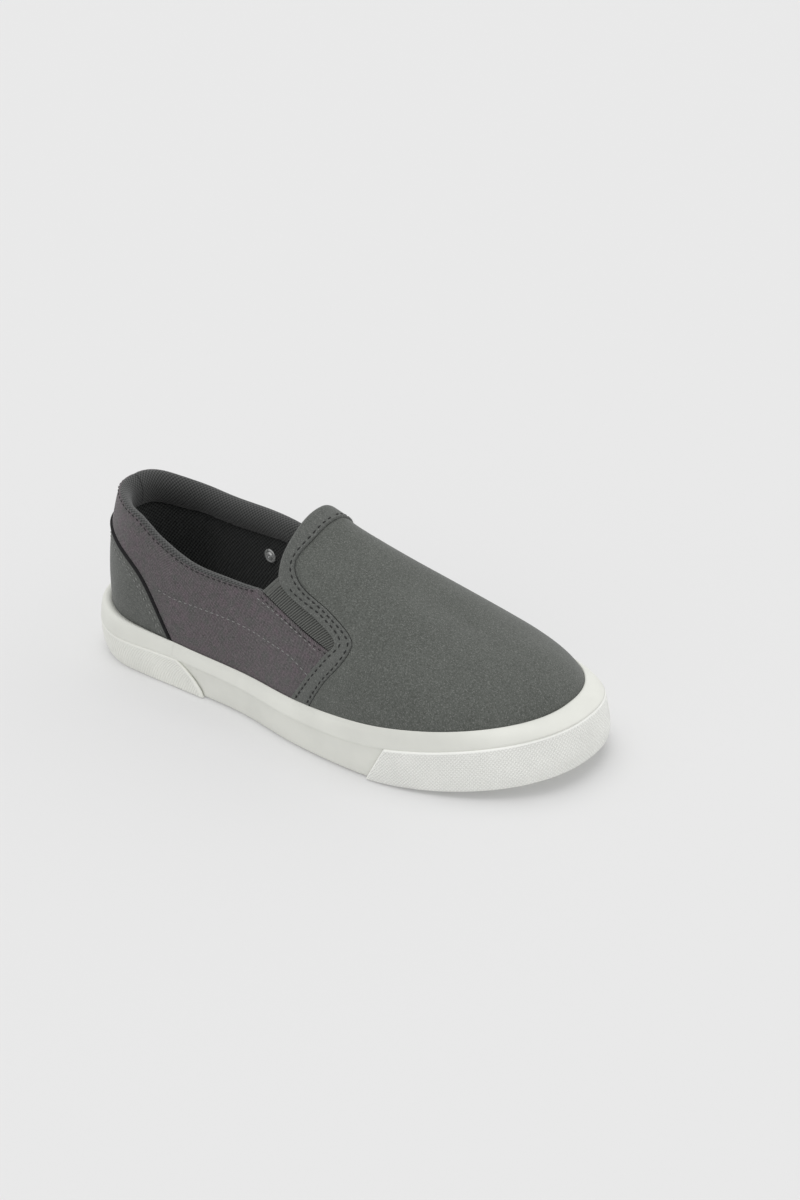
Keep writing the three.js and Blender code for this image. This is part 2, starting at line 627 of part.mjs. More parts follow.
// The piping along the counter's front edge and over the back of the heel.
const PIPING_STEPS = 16;
const PIPING_END = 0.95;
const cord = [];
for (let i = 0; i < 6; i += 1) {
  const angle = i / 6 * 2 * Math.PI;
  cord.push([SEAM_GAP + PANEL + Math.cos(angle) * PIPING_RADIUS, Math.sin(angle) * PIPING_RADIUS]);
}
const pipingSpot = (side, across) => {
  const foot = quarterFoot(side, Math.min(across, PIPING_END) * QUARTER_TURN);
  const steep = across >= SEAM_TURN;
  const station = steep ? stationAt(alongAt(foot.station) - SEAM_ALONG) : foot.station;
  const height = wallPoint(side, foot.station, foot.rise).z - (steep ? 0 : SEAM_HEIGHT);
  return { side, station, rise: riseAt(side, station, height) };
};
const pipingPath = [];
for (let i = PIPING_STEPS; i > 0; i -= 1) pipingPath.push(pipingSpot(1, i / PIPING_STEPS));
for (let i = 0; i <= PIPING_STEPS; i += 1) pipingPath.push(pipingSpot(-1, i / PIPING_STEPS));
add('counter_piping', carry(pipingPath, cord, false), 0x1b1b1b, 0.7);

// The flap on the inner quarter, with its two rear corners rounded.
const FLAP_STEPS = 6;
const flap = panel(FLAP_STEPS, FLAP_STEPS, (i, j) => {
  const back = i / FLAP_STEPS;
  const down = j / FLAP_STEPS;
  const narrow = back > 0.6 ? 1 - 0.22 * ((back - 0.6) / 0.4) ** 2 : 1;
  const across = 0.5 + (down - 0.5) * narrow;
  const along = mix(FLAP.frontAlong, FLAP.rearAlong, back) - FLAP.slant * across;
  const top = mix(FLAP_RISE.frontTop, FLAP_RISE.rearTop, back);
  const foot = mix(FLAP_RISE.frontFoot, FLAP_RISE.rearFoot, back);
  const rise = mix(top, foot, across);
  return { side: 1, station: stationAt(along), rise };
}, SEAM_GAP + PANEL + CLEARANCE, SEAM_GAP + PANEL + CLEARANCE + FLAP_THICKNESS);
add('side_flap', flap, GREY_SUEDE, 0.8);

// The vent eyelet: a short barrel through the wall and the inner quarter, with a flange each side.
const eyeStation = stationAt(EYELET.along);
const eyeRim = rimHeight(EYELET.along);
const eyeRoom = edgeHeight(1, EYELET.along) - ROLL_REACH - EYELET.flange - CLEARANCE - eyeRim;
const eyeRise = riseAt(1, eyeStation, eyeRim + EYELET.up * eyeRoom);
const eyePoint = wallPoint(1, eyeStation, eyeRise);
const eyeTurn = new THREE.Quaternion().setFromUnitVectors(
  new THREE.Vector3(0, 1, 0),
  wallNormal(1, eyeStation, eyeRise),
);
const turned = (geometry) => {
  geometry.applyQuaternion(eyeTurn);
  geometry.translate(eyePoint.x, eyePoint.y, eyePoint.z);
  return geometry;
};
const eyeTop = SEAM_GAP + PANEL + CLEARANCE;
const eyeFoot = -WALL - CLEARANCE;
const eyelet = new THREE.LatheGeometry([
  new THREE.Vector2(EYELET.bore, eyeFoot - EYELET.dome),
  new THREE.Vector2(EYELET.flange, eyeFoot - EYELET.plate),
  new THREE.Vector2(EYELET.flange, eyeFoot),
  new THREE.Vector2(EYELET.barrel, eyeFoot),
  new THREE.Vector2(EYELET.barrel, eyeTop),
  new THREE.Vector2(EYELET.flange, eyeTop),
  new THREE.Vector2(EYELET.flange, eyeTop + EYELET.plate),
  new THREE.Vector2(EYELET.bore, eyeTop + EYELET.dome),
  new THREE.Vector2(EYELET.bore, eyeFoot - EYELET.dome),
], 14);
const eyeCut = 4 * (eyeTop - eyeFoot);
const drill = () => toManifold(turned(new THREE.CylinderGeometry(EYELET.hole, EYELET.hole, eyeCut, 14)));
upper = upper.subtract(drill());
add('upper', fromManifold(upper), DARK_LINING, 0.95);
add('quarter_lateral', quarter(-1), MAUVE_CANVAS, 0.9);
add('quarter_medial', fromManifold(toManifold(quarter(1)).subtract(drill())), MAUVE_CANVAS, 0.9);
add('vent_eyelet', fromManifold(toManifold(turned(eyelet))), 0xb9bab8, 0.3, 1);

// The sole: a cup with a floor, a side that steps out to a smooth rim strip, and a recess below.
const soleCount = 36;
const stepHeight = (along) => read(SOLE_ROWS, 'step', along) * SOLE_HEIGHT;
const sole = loft(soleCount, [
  { inset: () => SOLE_LEDGE, height: (along) => springAt(along) + FLOOR_UNDER },
  { inset: () => SOLE_LEDGE, height: (along) => springAt(along) + WAIST_RISE },
  { inset: () => BAND_THICKNESS + CLEARANCE, height: (along) => springAt(along) + WAIST_RISE },
  { inset: () => BAND_THICKNESS + CLEARANCE + STEP_HOLLOW, height: (along) => stepHeight(along) - STEP_LIP },
  { inset: () => STEP_OUT, height: (along) => stepHeight(along) },
  {
    inset: (along) => mix(STEP_OUT, rimInset(along), 0.75),
    height: (along) => mix(stepHeight(along), rimHeight(along), 0.9),
  },
  { inset: (along) => rimInset(along), height: (along) => rimHeight(along) },
  { inset: (along) => rimInset(along), height: (along) => springAt(along) + FLOOR_TOP },
]);
add('sole', sole, RUBBER, 0.6);

// The raised bands at the toe and the heel.
function band(count, first, ends) {
  return thicken(2 * count, 3, (i, j, layer) => {
    const side = (i < count) === (first === 1) ? 1 : -1;
    const out = Math.abs(i - count) / count;
    const up = j / 3;
    const end = stationAt(mix(ends.foot, ends.top, up ** (first ? 1 : 2)));
    const station = mix(first, end, out);
    const along = alongAt(station);
    const bulge = BAND_BULGE * Math.sin(Math.PI * up);
    const inset = mix(0, BAND_DRAFT, up) - bulge;
    const low = springAt(along) + CLEARANCE;
    const high = stepHeight(along) - STEP_LIP - CLEARANCE;
    const [x, y] = outline(side, station, layer ? inset : mix(BAND_THICKNESS, BAND_THICKNESS + 0.5, up));
    return new THREE.Vector3(x, y, mix(low, high, up));
  });
}
add('toe_band', band(18, 1, TOE_BAND), RUBBER, 0.6);
add('heel_band', band(14, 0, HEEL_BAND), RUBBER, 0.6);

// The outsole plate with grooves cut across it between its lugs.
let outsole = toManifold(loft(30, [
  { inset: () => SOLE_LEDGE + CLEARANCE, height: (along) => springAt(along) },
  { inset: () => SOLE_LEDGE + CLEARANCE, height: (along) => springAt(along) + TREAD_PLATE },
]));
for (let x = GROOVE.first * LENGTH; x < GROOVE.last * LENGTH; x += GROOVE.spacing) {
  const along = x / LENGTH;
  if (along > GROOVE.skipFrom && along < GROOVE.skipTo) continue;
  const box = new THREE.BoxGeometry(GROOVE.width, BALL_WIDTH * 1.3, LUG_HEIGHT * 2);
  box.translate(x, TOE_SWING * along ** 3, springAt(along));
  outsole = outsole.subtract(toManifold(box));
}
add('outsole', fromManifold(outsole), RUBBER, 0.7);

// The insole on the cup's floor, inside the wall.
const insoleInset = (along) => seatInset(along) + WALL + 2 * CLEARANCE;
const insole = loft(26, [
  { inset: insoleInset, height: (along) => springAt(along) + FLOOR_TOP + CLEARANCE },
  { inset: insoleInset, height: (along) => springAt(along) + FLOOR_TOP + INSOLE_THICKNESS },
]);
add('insole', insole, DARK_LINING, 0.95);

export default group;
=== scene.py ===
import bmesh
import bpy
import numpy as np
from mathutils import Matrix, Vector


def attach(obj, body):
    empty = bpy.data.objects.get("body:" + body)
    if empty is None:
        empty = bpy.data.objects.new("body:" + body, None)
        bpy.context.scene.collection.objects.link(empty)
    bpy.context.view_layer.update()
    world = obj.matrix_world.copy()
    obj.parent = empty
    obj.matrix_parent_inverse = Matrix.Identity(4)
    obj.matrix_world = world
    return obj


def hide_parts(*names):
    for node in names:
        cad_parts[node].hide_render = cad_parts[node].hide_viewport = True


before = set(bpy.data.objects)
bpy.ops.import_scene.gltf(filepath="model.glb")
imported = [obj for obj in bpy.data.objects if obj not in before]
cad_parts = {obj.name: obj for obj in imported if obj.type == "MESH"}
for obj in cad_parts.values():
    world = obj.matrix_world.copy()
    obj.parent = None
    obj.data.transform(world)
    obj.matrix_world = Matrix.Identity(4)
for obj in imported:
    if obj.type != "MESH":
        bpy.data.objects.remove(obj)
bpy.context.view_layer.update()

# The rubber cup of the sole is moulded in one piece: a smooth side, a step, and a rim strip that
# leans in to the upper and ends in a thin bead. The upper is glued into it.
LENGTH, BALL_WIDTH, SOLE_HEIGHT = 252.5, 96.0, 28.7
TOE_SWING, TOE_SPRING, HEEL_SPRING = 8.2, 7.1, 1.2
TOE_SPRING_FROM, HEEL_SPRING_TO = 0.7, 0.12
HEEL_REACH, HEEL_POWER, TOE_REACH, TOE_POWER = 38.6, 2.31, 70.6, 2.28
CENTRE_FORWARD, CENTRE_SIDE = LENGTH / 2, 2.03
SOLE = {
    "along": [0.00, 0.14, 0.28, 0.42, 0.56, 0.70, 0.82, 0.92, 1.00],
    "lateral": [0.345, 0.377, 0.385, 0.408, 0.479, 0.515, 0.502, 0.481, 0.453],
    "medial": [0.347, 0.349, 0.325, 0.302, 0.392, 0.480, 0.490, 0.491, 0.485],
    "edge": [0.895, 0.787, 0.693, 0.645, 0.676, 0.815, 0.927, 0.983, 1.000],
    "edge_in": [0.056, 0.048, 0.047, 0.056, 0.058, 0.036, 0.034, 0.062, 0.100],
    "step": [0.54, 0.51, 0.485, 0.456, 0.46, 0.516, 0.645, 0.787, 0.906],
}


def mix(a, b, t):
    return a + (b - a) * t


def read(rows, column, at, key="along"):
    x = np.asarray(rows[key], float)
    y = np.asarray(rows[column], float)
    at = np.clip(at, x[0], x[-1])
    i = np.clip(np.searchsorted(x, at, side="left") - 1, 0, len(x) - 2)
    slope = np.concatenate(
        [
            [(y[1] - y[0]) / (x[1] - x[0])],
            (y[2:] - y[:-2]) / (x[2:] - x[:-2]),
            [(y[-1] - y[-2]) / (x[-1] - x[-2])],
        ]
    )
    width = x[i + 1] - x[i]
    t = (at - x[i]) / width
    start = (2 * t**3 - 3 * t**2 + 1) * y[i] + (t**3 - 2 * t**2 + t) * width * slope[i]
    return start + (3 * t**2 - 2 * t**3) * y[i + 1] + (t**3 - t**2) * width * slope[i + 1]


def by_side(rows, side, along):
    return np.where(side < 0, read(rows, "lateral", along), read(rows, "medial", along))


def along_at(station):
    return (1 - np.cos(np.pi * np.clip(station, 0, 1))) / 2


def station_at(along):
    return np.arccos(1 - 2 * np.clip(along, 0, 1)) / np.pi


def spring_at(along):
    toe = np.clip((along - TOE_SPRING_FROM) / (1 - TOE_SPRING_FROM), 0, 1) ** 2 * TOE_SPRING
    return toe + np.clip(1 - along / HEEL_SPRING_TO, 0, 1) ** 2 * HEEL_SPRING


def bare_outline(side, station):
    along = along_at(station)
    forward = along * LENGTH
    heel = np.clip(1 - forward / HEEL_REACH, 0, 1) ** HEEL_POWER
    toe = np.clip(1 - (LENGTH - forward) / TOE_REACH, 0, 1) ** TOE_POWER
    round_off = np.clip(1 - heel, 0, 1) ** (1 / HEEL_POWER) * np.clip(1 - toe, 0, 1) ** (1 / TOE_POWER)
    return forward, TOE_SWING * along**3 + side * by_side(SOLE, side, along) * BALL_WIDTH * round_off


def outline(side, station, inset):
    x, y = bare_outline(side, station)
    x0, y0 = bare_outline(side, np.clip(station - 1e-4, 0, 1))
    x1, y1 = bare_outline(side, np.clip(station + 1e-4, 0, 1))
    dx, dy = x1 - x0, y1 - y0
    length = np.hypot(dx, dy) + 1e-12
    in_x = np.where(station <= 0, 1.0, np.where(station >= 1, -1.0, dy / length * side))
    in_y = np.where((station <= 0) | (station >= 1), 0.0, -dx / length * side)
    return x + in_x * inset, y + in_y * inset


def rim_height(along):
    return read(SOLE, "edge", along) * SOLE_HEIGHT


def step_height(along):
    return read(SOLE, "step", along) * SOLE_HEIGHT


def rim_inset(along):
    return read(SOLE, "edge_in", along) * BALL_WIDTH


def lengths(points, axis):
    step = np.linalg.norm(np.diff(points, axis=axis), axis=-1)
    start = np.zeros_like(np.take(step, [0], axis=axis))
    return np.concatenate([start, np.cumsum(step, axis=axis)], axis=axis)


def in_frame(points):
    """Points in metres in the frame, from millimetres forward of the heel, sideways and up."""
    return (np.asarray(points) - [CENTRE_FORWARD, CENTRE_SIDE, 0]) * 0.001


def new_piece(name, bm):
    mesh = bpy.data.meshes.new(name)
    bm.to_mesh(mesh)
    bm.free()
    mesh.polygons.foreach_set("use_smooth", [True] * len(mesh.polygons))
    piece = bpy.data.objects.new(name, mesh)
    bpy.context.scene.collection.objects.link(piece)
    return piece


def grid_object(name, points, uv=None, merge=False, border=None, outward=None):
    """A surface through a grid of points in millimetres. Its map holds the run along it, in millimetres
    too, and its faces are turned to point along outward, where that is given for each point."""
    if uv is None:
        uv = np.stack([lengths(points, 0), lengths(points, 1)], -1)
    columns, rows = points.shape[0] - 1, points.shape[1] - 1
    bm = bmesh.new()
    bmesh.ops.create_grid(bm, x_segments=columns, y_segments=rows, size=0.5)
    piece = new_piece(name, bm)
    mesh = piece.data
    flat = np.empty(len(mesh.vertices) * 3)
    mesh.vertices.foreach_get("co", flat)
    flat = flat.reshape(-1, 3)
    flat = (flat - flat.min(0)) / np.maximum(np.ptp(flat, 0), 1e-9)
    i = np.rint(flat[:, 0] * columns).astype(int)
    j = np.rint(flat[:, 1] * rows).astype(int)
    mesh.vertices.foreach_set("co", in_frame(points[i, j]).ravel())
    corners = np.empty(len(mesh.loops), int)
    mesh.loops.foreach_get("vertex_index", corners)
    layer = mesh.uv_layers.new(name="cloth")
    layer.data.foreach_set("uv", uv[i, j][corners].ravel())
    if border is not None:
        mesh.attributes.new("border", "FLOAT", "POINT").data.foreach_set("value", border[i, j])
    if outward is not None:
        normals = np.empty(len(mesh.polygons) * 3)
        mesh.polygons.foreach_get("normal", normals)
        first = [mesh.loops[face.loop_start].vertex_index for face in mesh.polygons]
        if np.sum(normals.reshape(-1, 3) * outward[i, j][first]) < 0:
            mesh.flip_normals()
    if merge:
        bm = bmesh.new()
        bm.from_mesh(mesh)
        bmesh.ops.remove_doubles(bm, verts=bm.verts[:], dist=2e-6)
        bmesh.ops.dissolve_degenerate(bm, edges=bm.edges[:], dist=1e-6)
        bm.to_mesh(mesh)
        bm.free()
    return piece


def close_up(piece):
    """Closes the open ends of a piece and turns its faces outwards."""
    bm = bmesh.new()
    bm.from_mesh(piece.data)
    bmesh.ops.holes_fill(bm, edges=[e for e in bm.edges if e.is_boundary], sides=0)
    bmesh.ops.recalc_face_normals(bm, faces=bm.faces[:])
    bm.to_mesh(piece.data)
    bm.free()


def around(count):
    """Stations right round the shoe: forward up the outer side from the heel, and back on the inner one."""
    t = np.linspace(0, 2, 2 * count + 1)
    return np.where(t <= 1, -1.0, 1.0), np.where(t <= 1, t, 2 - t)


def ring_object(name, levels, count):
    """A moulded ring whose section is levels, a list of (inset, height) at each place along the shoe."""
    side, station = around(count)
    along = along_at(station)
    rows = []
    for inset, height in levels:
        x, y = outline(side, station, inset(along))
        rows.append(np.stack([x, y, height(along)], -1))
    piece = grid_object(name, np.stack(rows, 1), merge=True)
    close_up(piece)
    return piece


def new_node(tree, kind, **settings):
    node = tree.nodes.new(kind)
    for key, value in settings.items():
        setattr(node, key, value)
    return node


def feed(tree, socket, value):
    """Links a socket to another, or sets it to a plain value."""
    if isinstance(value, bpy.types.NodeSocket):
        tree.links.new(value, socket)
    else:
        socket.default_value = value


def maths(tree, operation, a, b=0.0):
    node = new_node(tree, "ShaderNodeMath", operation=operation)
    feed(tree, node.inputs[0], a)
    feed(tree, node.inputs[1], b)
    return node.outputs[0]


def wave(tree, value, pitch, kind="SINE"):
    return maths(tree, kind, maths(tree, "MULTIPLY", value, 2 * np.pi / pitch))


def blend(tree, kind, share, first, second):
    """A colour made of two, in one of the ways of a Mix node."""
    node = new_node(tree, "ShaderNodeMix", data_type="RGBA", blend_type=kind)
    feed(tree, node.inputs[0], share)
    feed(tree, node.inputs[6], first)
    feed(tree, node.inputs[7], second)
    return node.outputs[2]


def parts(tree, vector):
    """The x, y and z outputs of a vector."""
    node = new_node(tree, "ShaderNodeSeparateXYZ")
    tree.links.new(vector, node.inputs[0])
    return node.outputs


def noise(tree, vector, scale, detail=2.0, roughness=0.5):
    node = new_node(tree, "ShaderNodeTexNoise")
    node.inputs["Scale"].default_value = scale
    node.inputs["Detail"].default_value = detail
    node.inputs["Roughness"].default_value = roughness
    tree.links.new(vector, node.inputs["Vector"])
    return node.outputs["Fac"]


def ramp(tree, value, stops):
    node = new_node(tree, "ShaderNodeValToRGB")
    while len(node.color_ramp.elements) < len(stops):
        node.color_ramp.elements.new(0.5)
    for element, (at, colour) in zip(node.color_ramp.elements, stops):
        element.position = at
        element.color = (*colour, 1)
    tree.links.new(value, node.inputs[0])
    return node.outputs[0]


def bump(tree, shader, height, depth, strength=1.0):
    node = new_node(tree, "ShaderNodeBump")
    node.inputs["Strength"].default_value = strength
    node.inputs["Distance"].default_value = depth
    tree.links.new(height, node.inputs["Height"])
    tree.links.new(node.outputs[0], shader.inputs["Normal"])


def material(name, roughness, **sockets):
    made = bpy.data.materials.new(name)
    made.use_nodes = True
    shader = made.node_tree.nodes["Principled BSDF"]
    shader.inputs["Roughness"].default_value = roughness
    for key, value in sockets.items():
        shader.inputs[key.replace("_", " ")].default_value = value
    place = new_node(made.node_tree, "ShaderNodeTexCoord")
    return made, made.node_tree, shader, place


def finish_piece(piece, made, slot_name, *nodes):
    piece.data.materials.clear()
    piece.data.materials.append(made)
    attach(piece, "root")
    if nodes:
        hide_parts(*nodes)
    return piece


RUBBER = (0.80, 0.806, 0.752)


def rubber_colour(tree, shader, place, light=RUBBER):
    """Off-white rubber, a little uneven, with faint grey handling marks."""
    cloud = noise(tree, place.outputs["Object"], 60, 3)
    dark = [part * 0.94 for part in light]
    tone = ramp(tree, cloud, [(0.3, dark), (0.62, light)])
    tree.links.new(tone, shader.inputs["Base Color"])
    return tone


smooth_rubber, tree, shader, place = material("smooth_rubber", 0.52, Specular_IOR_Level=0.4)
rubber_colour(tree, shader, place)
JOINT_FORWARD, JOINT_FOOT, JOINT_HALF = 64.6, 15.0, 0.6
x, y, z = parts(tree, place.outputs["Object"])
from_joint = maths(tree, "ABSOLUTE", maths(tree, "SUBTRACT", x, (JOINT_FORWARD - CENTRE_FORWARD) / 1000))
joint = maths(tree, "SUBTRACT", 1.0, maths(tree, "DIVIDE", from_joint, JOINT_HALF / 1000))
joint = maths(tree, "MAXIMUM", joint, 0.0)
joint = maths(tree, "MULTIPLY", joint, maths(tree, "GREATER_THAN", z, JOINT_FOOT / 1000))
grain = maths(tree, "MULTIPLY", noise(tree, place.outputs["Object"], 1400, 2), 0.1)
bump(tree, shader, maths(tree, "SUBTRACT", grain, joint), 0.0003, 0.6)

BAND_THICKNESS, CLEARANCE, SOLE_LEDGE = 1.3, 0.35, 3.0
SIDE_IN, SIDE_FOOT, STEP_IN = BAND_THICKNESS + CLEARANCE, 1.45, 1.5
HEEL_BULGE, TOE_BULGE = 2.5, 1.2


def smooth_step(share):
    share = np.clip(share, 0, 1)
    return share * share * (3 - 2 * share)


def swell(along, heel, toe):
    """How far the rubber swells out, given its shares of the bulge round the heel and round the toe."""
    at_heel = HEEL_BULGE * smooth_step((0.27 - along) / 0.2)
    return heel * at_heel + toe * TOE_BULGE * smooth_step((along - 0.85) / 0.15)


def bead_at(along):
    """How far the bead under the rim shows: fully along the sides, and not at heel and toe."""
    return smooth_step((along - 0.16) / 0.12) * smooth_step((0.78 - along) / 0.12)


def low_level(inset, share, drop, bulge):
    """A level of the cup's side: share of the way up to the step, less drop millimetres."""
    return (
        lambda a: inset - swell(a, bulge, bulge),
        lambda a: mix(spring_at(a) + SIDE_FOOT, step_height(a), share) - drop,
    )


def rim_level(share_in, share_up, heel, toe, groove=0.0):
    """A level of the rim strip: shares of the way in and up from the step to the rim, and of the bulges."""
    return (
        lambda a: mix(STEP_IN, rim_inset(a), share_in) + groove * bead_at(a) - swell(a, heel, toe),
        lambda a: mix(step_height(a), rim_height(a), share_up),
    )


sole_levels = [
    (lambda a: SOLE_LEDGE, lambda a: spring_at(a) + 3.4),
    (lambda a: SOLE_LEDGE, lambda a: spring_at(a) + 0.95),
    low_level(SIDE_IN + 0.5, 0.0, 0.55, 0.0),
    low_level(SIDE_IN + 0.12, 0.0, 0.4, 0.0),
    low_level(SIDE_IN, 0.0, 0.0, 0.0),
    low_level(SIDE_IN + 0.1, 0.33, 0.2, 0.33),
    low_level(SIDE_IN + 0.3, 0.67, 0.5, 0.67),
    low_level(SIDE_IN + 0.45, 1.0, 1.2, 0.78),
    low_level(SIDE_IN + 0.5, 1.0, 0.75, 0.78),
    low_level(SIDE_IN + 0.3, 1.0, 0.5, 0.78),
    low_level(1.68, 1.0, 0.36, 0.8),
    low_level(STEP_IN, 1.0, 0.1, 0.86),
    rim_level(0.0, 0.04, 0.88, 0.95),
    rim_level(0.07, 0.18, 0.9, 1.0),
    rim_level(0.2, 0.38, 0.97, 0.97),
    rim_level(0.37, 0.6, 1.06, 0.85),
    rim_level(0.58, 0.79, 1.16, 0.6),
    rim_level(0.73, 0.88, 1.18, 0.42, 0.16),
    rim_level(0.79, 0.915, 1.16, 0.36, 0.04),
    rim_level(0.86, 0.96, 1.12, 0.25),
    rim_level(0.93, 0.99, 1.04, 0.12),
    rim_level(1.0, 1.0, 0.85, 0.0),
    (lambda a: rim_inset(a) + 0.25, lambda a: rim_height(a) - 0.5),
    (lambda a: rim_inset(a) + 0.3, lambda a: spring_at(a) + 8),
]
sole_cup = ring_object("sole_cup", sole_levels, 130)
finish_piece(sole_cup, smooth_rubber, "sole_rubber", "sole")

# The toe and heel bands are moulded on the side of the cup, a little proud of it. Two families of fine
# grooves cross on them and leave small diamonds. The heel's band has a smooth border at its curved end.
DIAMOND_ACROSS, DIAMOND_UP = 1.5, 1.72
BAND_SWELL = {"up": [0.0, 0.3, 0.6, 1.0], "heel": [-0.3, 0.17, 0.47, 0.8], "toe": [1.1, 1.5, 1.1, 0.62]}
BAND_BULGE, BAND_ROUND, BAND_EDGE_DROP = 0.45, 0.8, 0.95
TOE_BORDER, HEEL_BORDER = 0.8, 1.8


def rounded(near):
    """Height of a rounded edge, from 0 to 1, given the distance from it as a share of its radius."""
    return np.sqrt(np.clip(1 - (1 - np.clip(near, 0, 1)) ** 2, 0, 1))


def back_wall(piece, thickness):
    """Gives a surface its thickness in millimetres, on its inner side."""
    wall = piece.modifiers.new("wall", "SOLIDIFY")
    wall.thickness = thickness * 0.001
    wall.offset = -1


def band_object(name, count, first, foot, top, top_in, border):
    """A band from its middle at first, 0 or 1, to ends that reach along foot below and top above."""
    rise = np.concatenate([[0, 0.008, 0.02, 0.04], np.linspace(0.08, 0.92, 26), [0.955, 0.98, 0.992, 1.0]])
    t = np.linspace(-1, 1, 2 * count + 1)
    t = np.sign(t) * (1 - (1 - np.abs(t)) ** 1.06)
    t, up = np.meshgrid(t, rise, indexing="ij")
    side = np.where((t < 0) == (first == 1), -1.0, 1.0)
    station = mix(first, station_at(mix(foot, top, up ** (2 - first))), np.abs(t))
    along = along_at(station)
    level = mix(spring_at(along) + 0.35, step_height(along) - 0.15, up)
    x, y = outline(side, station, 0 * along)
    middle = np.stack([x, y, level], -1)
    run, height = lengths(middle, 0), lengths(middle, 1)
    from_end = np.minimum(run, run[-1] - run)
    upper_edge = np.minimum(from_end, height[:, -1:] - height)
    inset = mix(0, top_in, up) - BAND_BULGE * np.sin(np.pi * up)
    inset -= swell(along, read(BAND_SWELL, "heel", up, "up"), read(BAND_SWELL, "toe", up, "up"))
    inset += BAND_EDGE_DROP * (1 - rounded(np.minimum(upper_edge, height) / BAND_ROUND))
    x, y = outline(side, station, inset)
    piece = grid_object(
        name,
        np.stack([x, y, level], -1),
        np.stack([run - run[count], height], -1),
        border=upper_edge - border,
        outward=(middle - middle.mean((0, 1))) * [1, 1, 0],
    )
    back_wall(piece, 0.9)
    return piece


def diamond_rubber(name, tone, across_steps, up_steps, depths):
    """Rubber with two families of slanting grooves, given their steps across and up, and their depths."""
    made, tree, shader, place = material(name, 0.55, Specular_IOR_Level=0.35)
    tone = rubber_colour(tree, shader, place, tone)
    from_border = new_node(tree, "ShaderNodeAttribute", attribute_name="border").outputs["Fac"]
    inside = maths(tree, "MAXIMUM", maths(tree, "MULTIPLY", from_border, 4.0), 0.0)
    inside = maths(tree, "MINIMUM", inside, 1.0)
    run, up, _ = parts(tree, place.outputs["UV"])
    relief = 1.0
    for slant, across_step, up_step, depth in zip((-1, 1), across_steps, up_steps, depths):
        upward = maths(tree, "MULTIPLY", up, slant / up_step)
        place_in = maths(tree, "ADD", maths(tree, "DIVIDE", run, across_step), upward)
        flank = maths(tree, "MULTIPLY", maths(tree, "PINGPONG", place_in, 0.5), 3.6)
        groove = maths(tree, "MAXIMUM", maths(tree, "SUBTRACT", 1.0, flank), 0.0)
        groove = maths(tree, "MULTIPLY", maths(tree, "MULTIPLY", groove, depth), inside)
        relief = maths(tree, "MINIMUM", relief, maths(tree, "SUBTRACT", 1.0, groove))
    bump(tree, shader, relief, 0.0003, 0.75)
    # The grooves are painted darker than the diamonds: painted shade in the grooves.
    shade = ramp(tree, relief, [(0.0, (0.91, 0.91, 0.9)), (0.8, (1, 1, 1))])
    tree.links.new(blend(tree, "MULTIPLY", 1.0, tone, shade), shader.inputs["Base Color"])
    return made


toe_band = band_object("toe_bumper", 170, 1, 0.722, 0.757, 0.9, TOE_BORDER)
# The toe band's rubber is painted lighter than the heel band's: painted light on the same rubber as the
# heel.
toe_rubber_painted_light = diamond_rubber(
    "toe_rubber_painted_light", (0.985, 0.99, 0.95), (DIAMOND_ACROSS, DIAMOND_ACROSS), (DIAMOND_UP, DIAMOND_UP), (1.0, 0.9)
)
finish_piece(toe_band, toe_rubber_painted_light, "sole_rubber", "toe_band")
heel_band = band_object("heel_bumper", 130, 0, 0.330, 0.268, 1.25, HEEL_BORDER)
# The heel band's rubber is painted darker than the toe band's: painted shade on the same rubber as the toe.
heel_rubber_painted_shade = diamond_rubber(
    "heel_rubber_painted_shade", (0.90, 0.905, 0.85), (1.42, DIAMOND_ACROSS), (2.8, DIAMOND_UP), (0.8, 0.25)
)
finish_piece(heel_band, heel_rubber_painted_shade, "sole_rubber", "heel_band")

# The outsole is a plate under the cup with grooves cut across it. It keeps the solid's own shape and
# gets a fine moulded zigzag tread.
tread_rubber, tree, shader, place = material("tread_rubber", 0.6)
rubber_colour(tree, shader, place)
x, y, z = parts(tree, place.outputs["Object"])
zigzag = maths(tree, "PINGPONG", y, 0.006)
ridge = maths(tree, "PINGPONG", maths(tree, "ADD", x, zigzag), 0.0016)
ridge = maths(tree, "MINIMUM", maths(tree, "MULTIPLY", ridge, 1200.0), 1.0)
bump(tree, shader, ridge, 0.0006, 0.7)
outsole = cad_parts["outsole"]
outsole.data.materials.clear()
outsole.data.materials.append(tread_rubber)

# The body of the upper is a stiffened lining about two millimetres thick, cut from one pattern and
# shaped over a last. Inside it shows a dark twill, and outside the panels are sewn over it.
WALL, SEAM_GAP, PANEL, SEAT_DEPTH = 2.0, 0.5, 0.85, 2.0
COLLAR_HEIGHT, INSTEP_HEIGHT = 76.0, 84.0
RIDGE_BACK, RIDGE_FRONT, RIDGE_SHORT = 0.166, 0.84, 0.04
RIDGE = {
    "along": [0.00, 0.25, 0.40, 0.47, 0.55, 0.65, 0.75, 0.85, 0.93, 1.00],
    "side": [0.021, 0.026, 0.031, 0.031, 0.036, 0.042, 0.050, 0.058, 0.066, 0.071],
    "height": [1.262, 1.226, 1.107, 1.024, 0.945, 0.846, 0.744, 0.650, 0.592, 0.562],
    "lateral": [2.00, 2.00, 1.95, 1.90, 1.88, 1.84, 1.80, 1.75, 1.68, 1.62],
    "medial": [2.00, 2.00, 1.95, 1.90, 1.80, 1.66, 1.56, 1.52, 1.54, 1.62],
}
LEAN = {"along": [0, 0.15, 0.30, 0.45, 0.60, 0.75, 1], "medial": [0, 0.010, 0.031, 0.031, 0.010, 0, 0]}
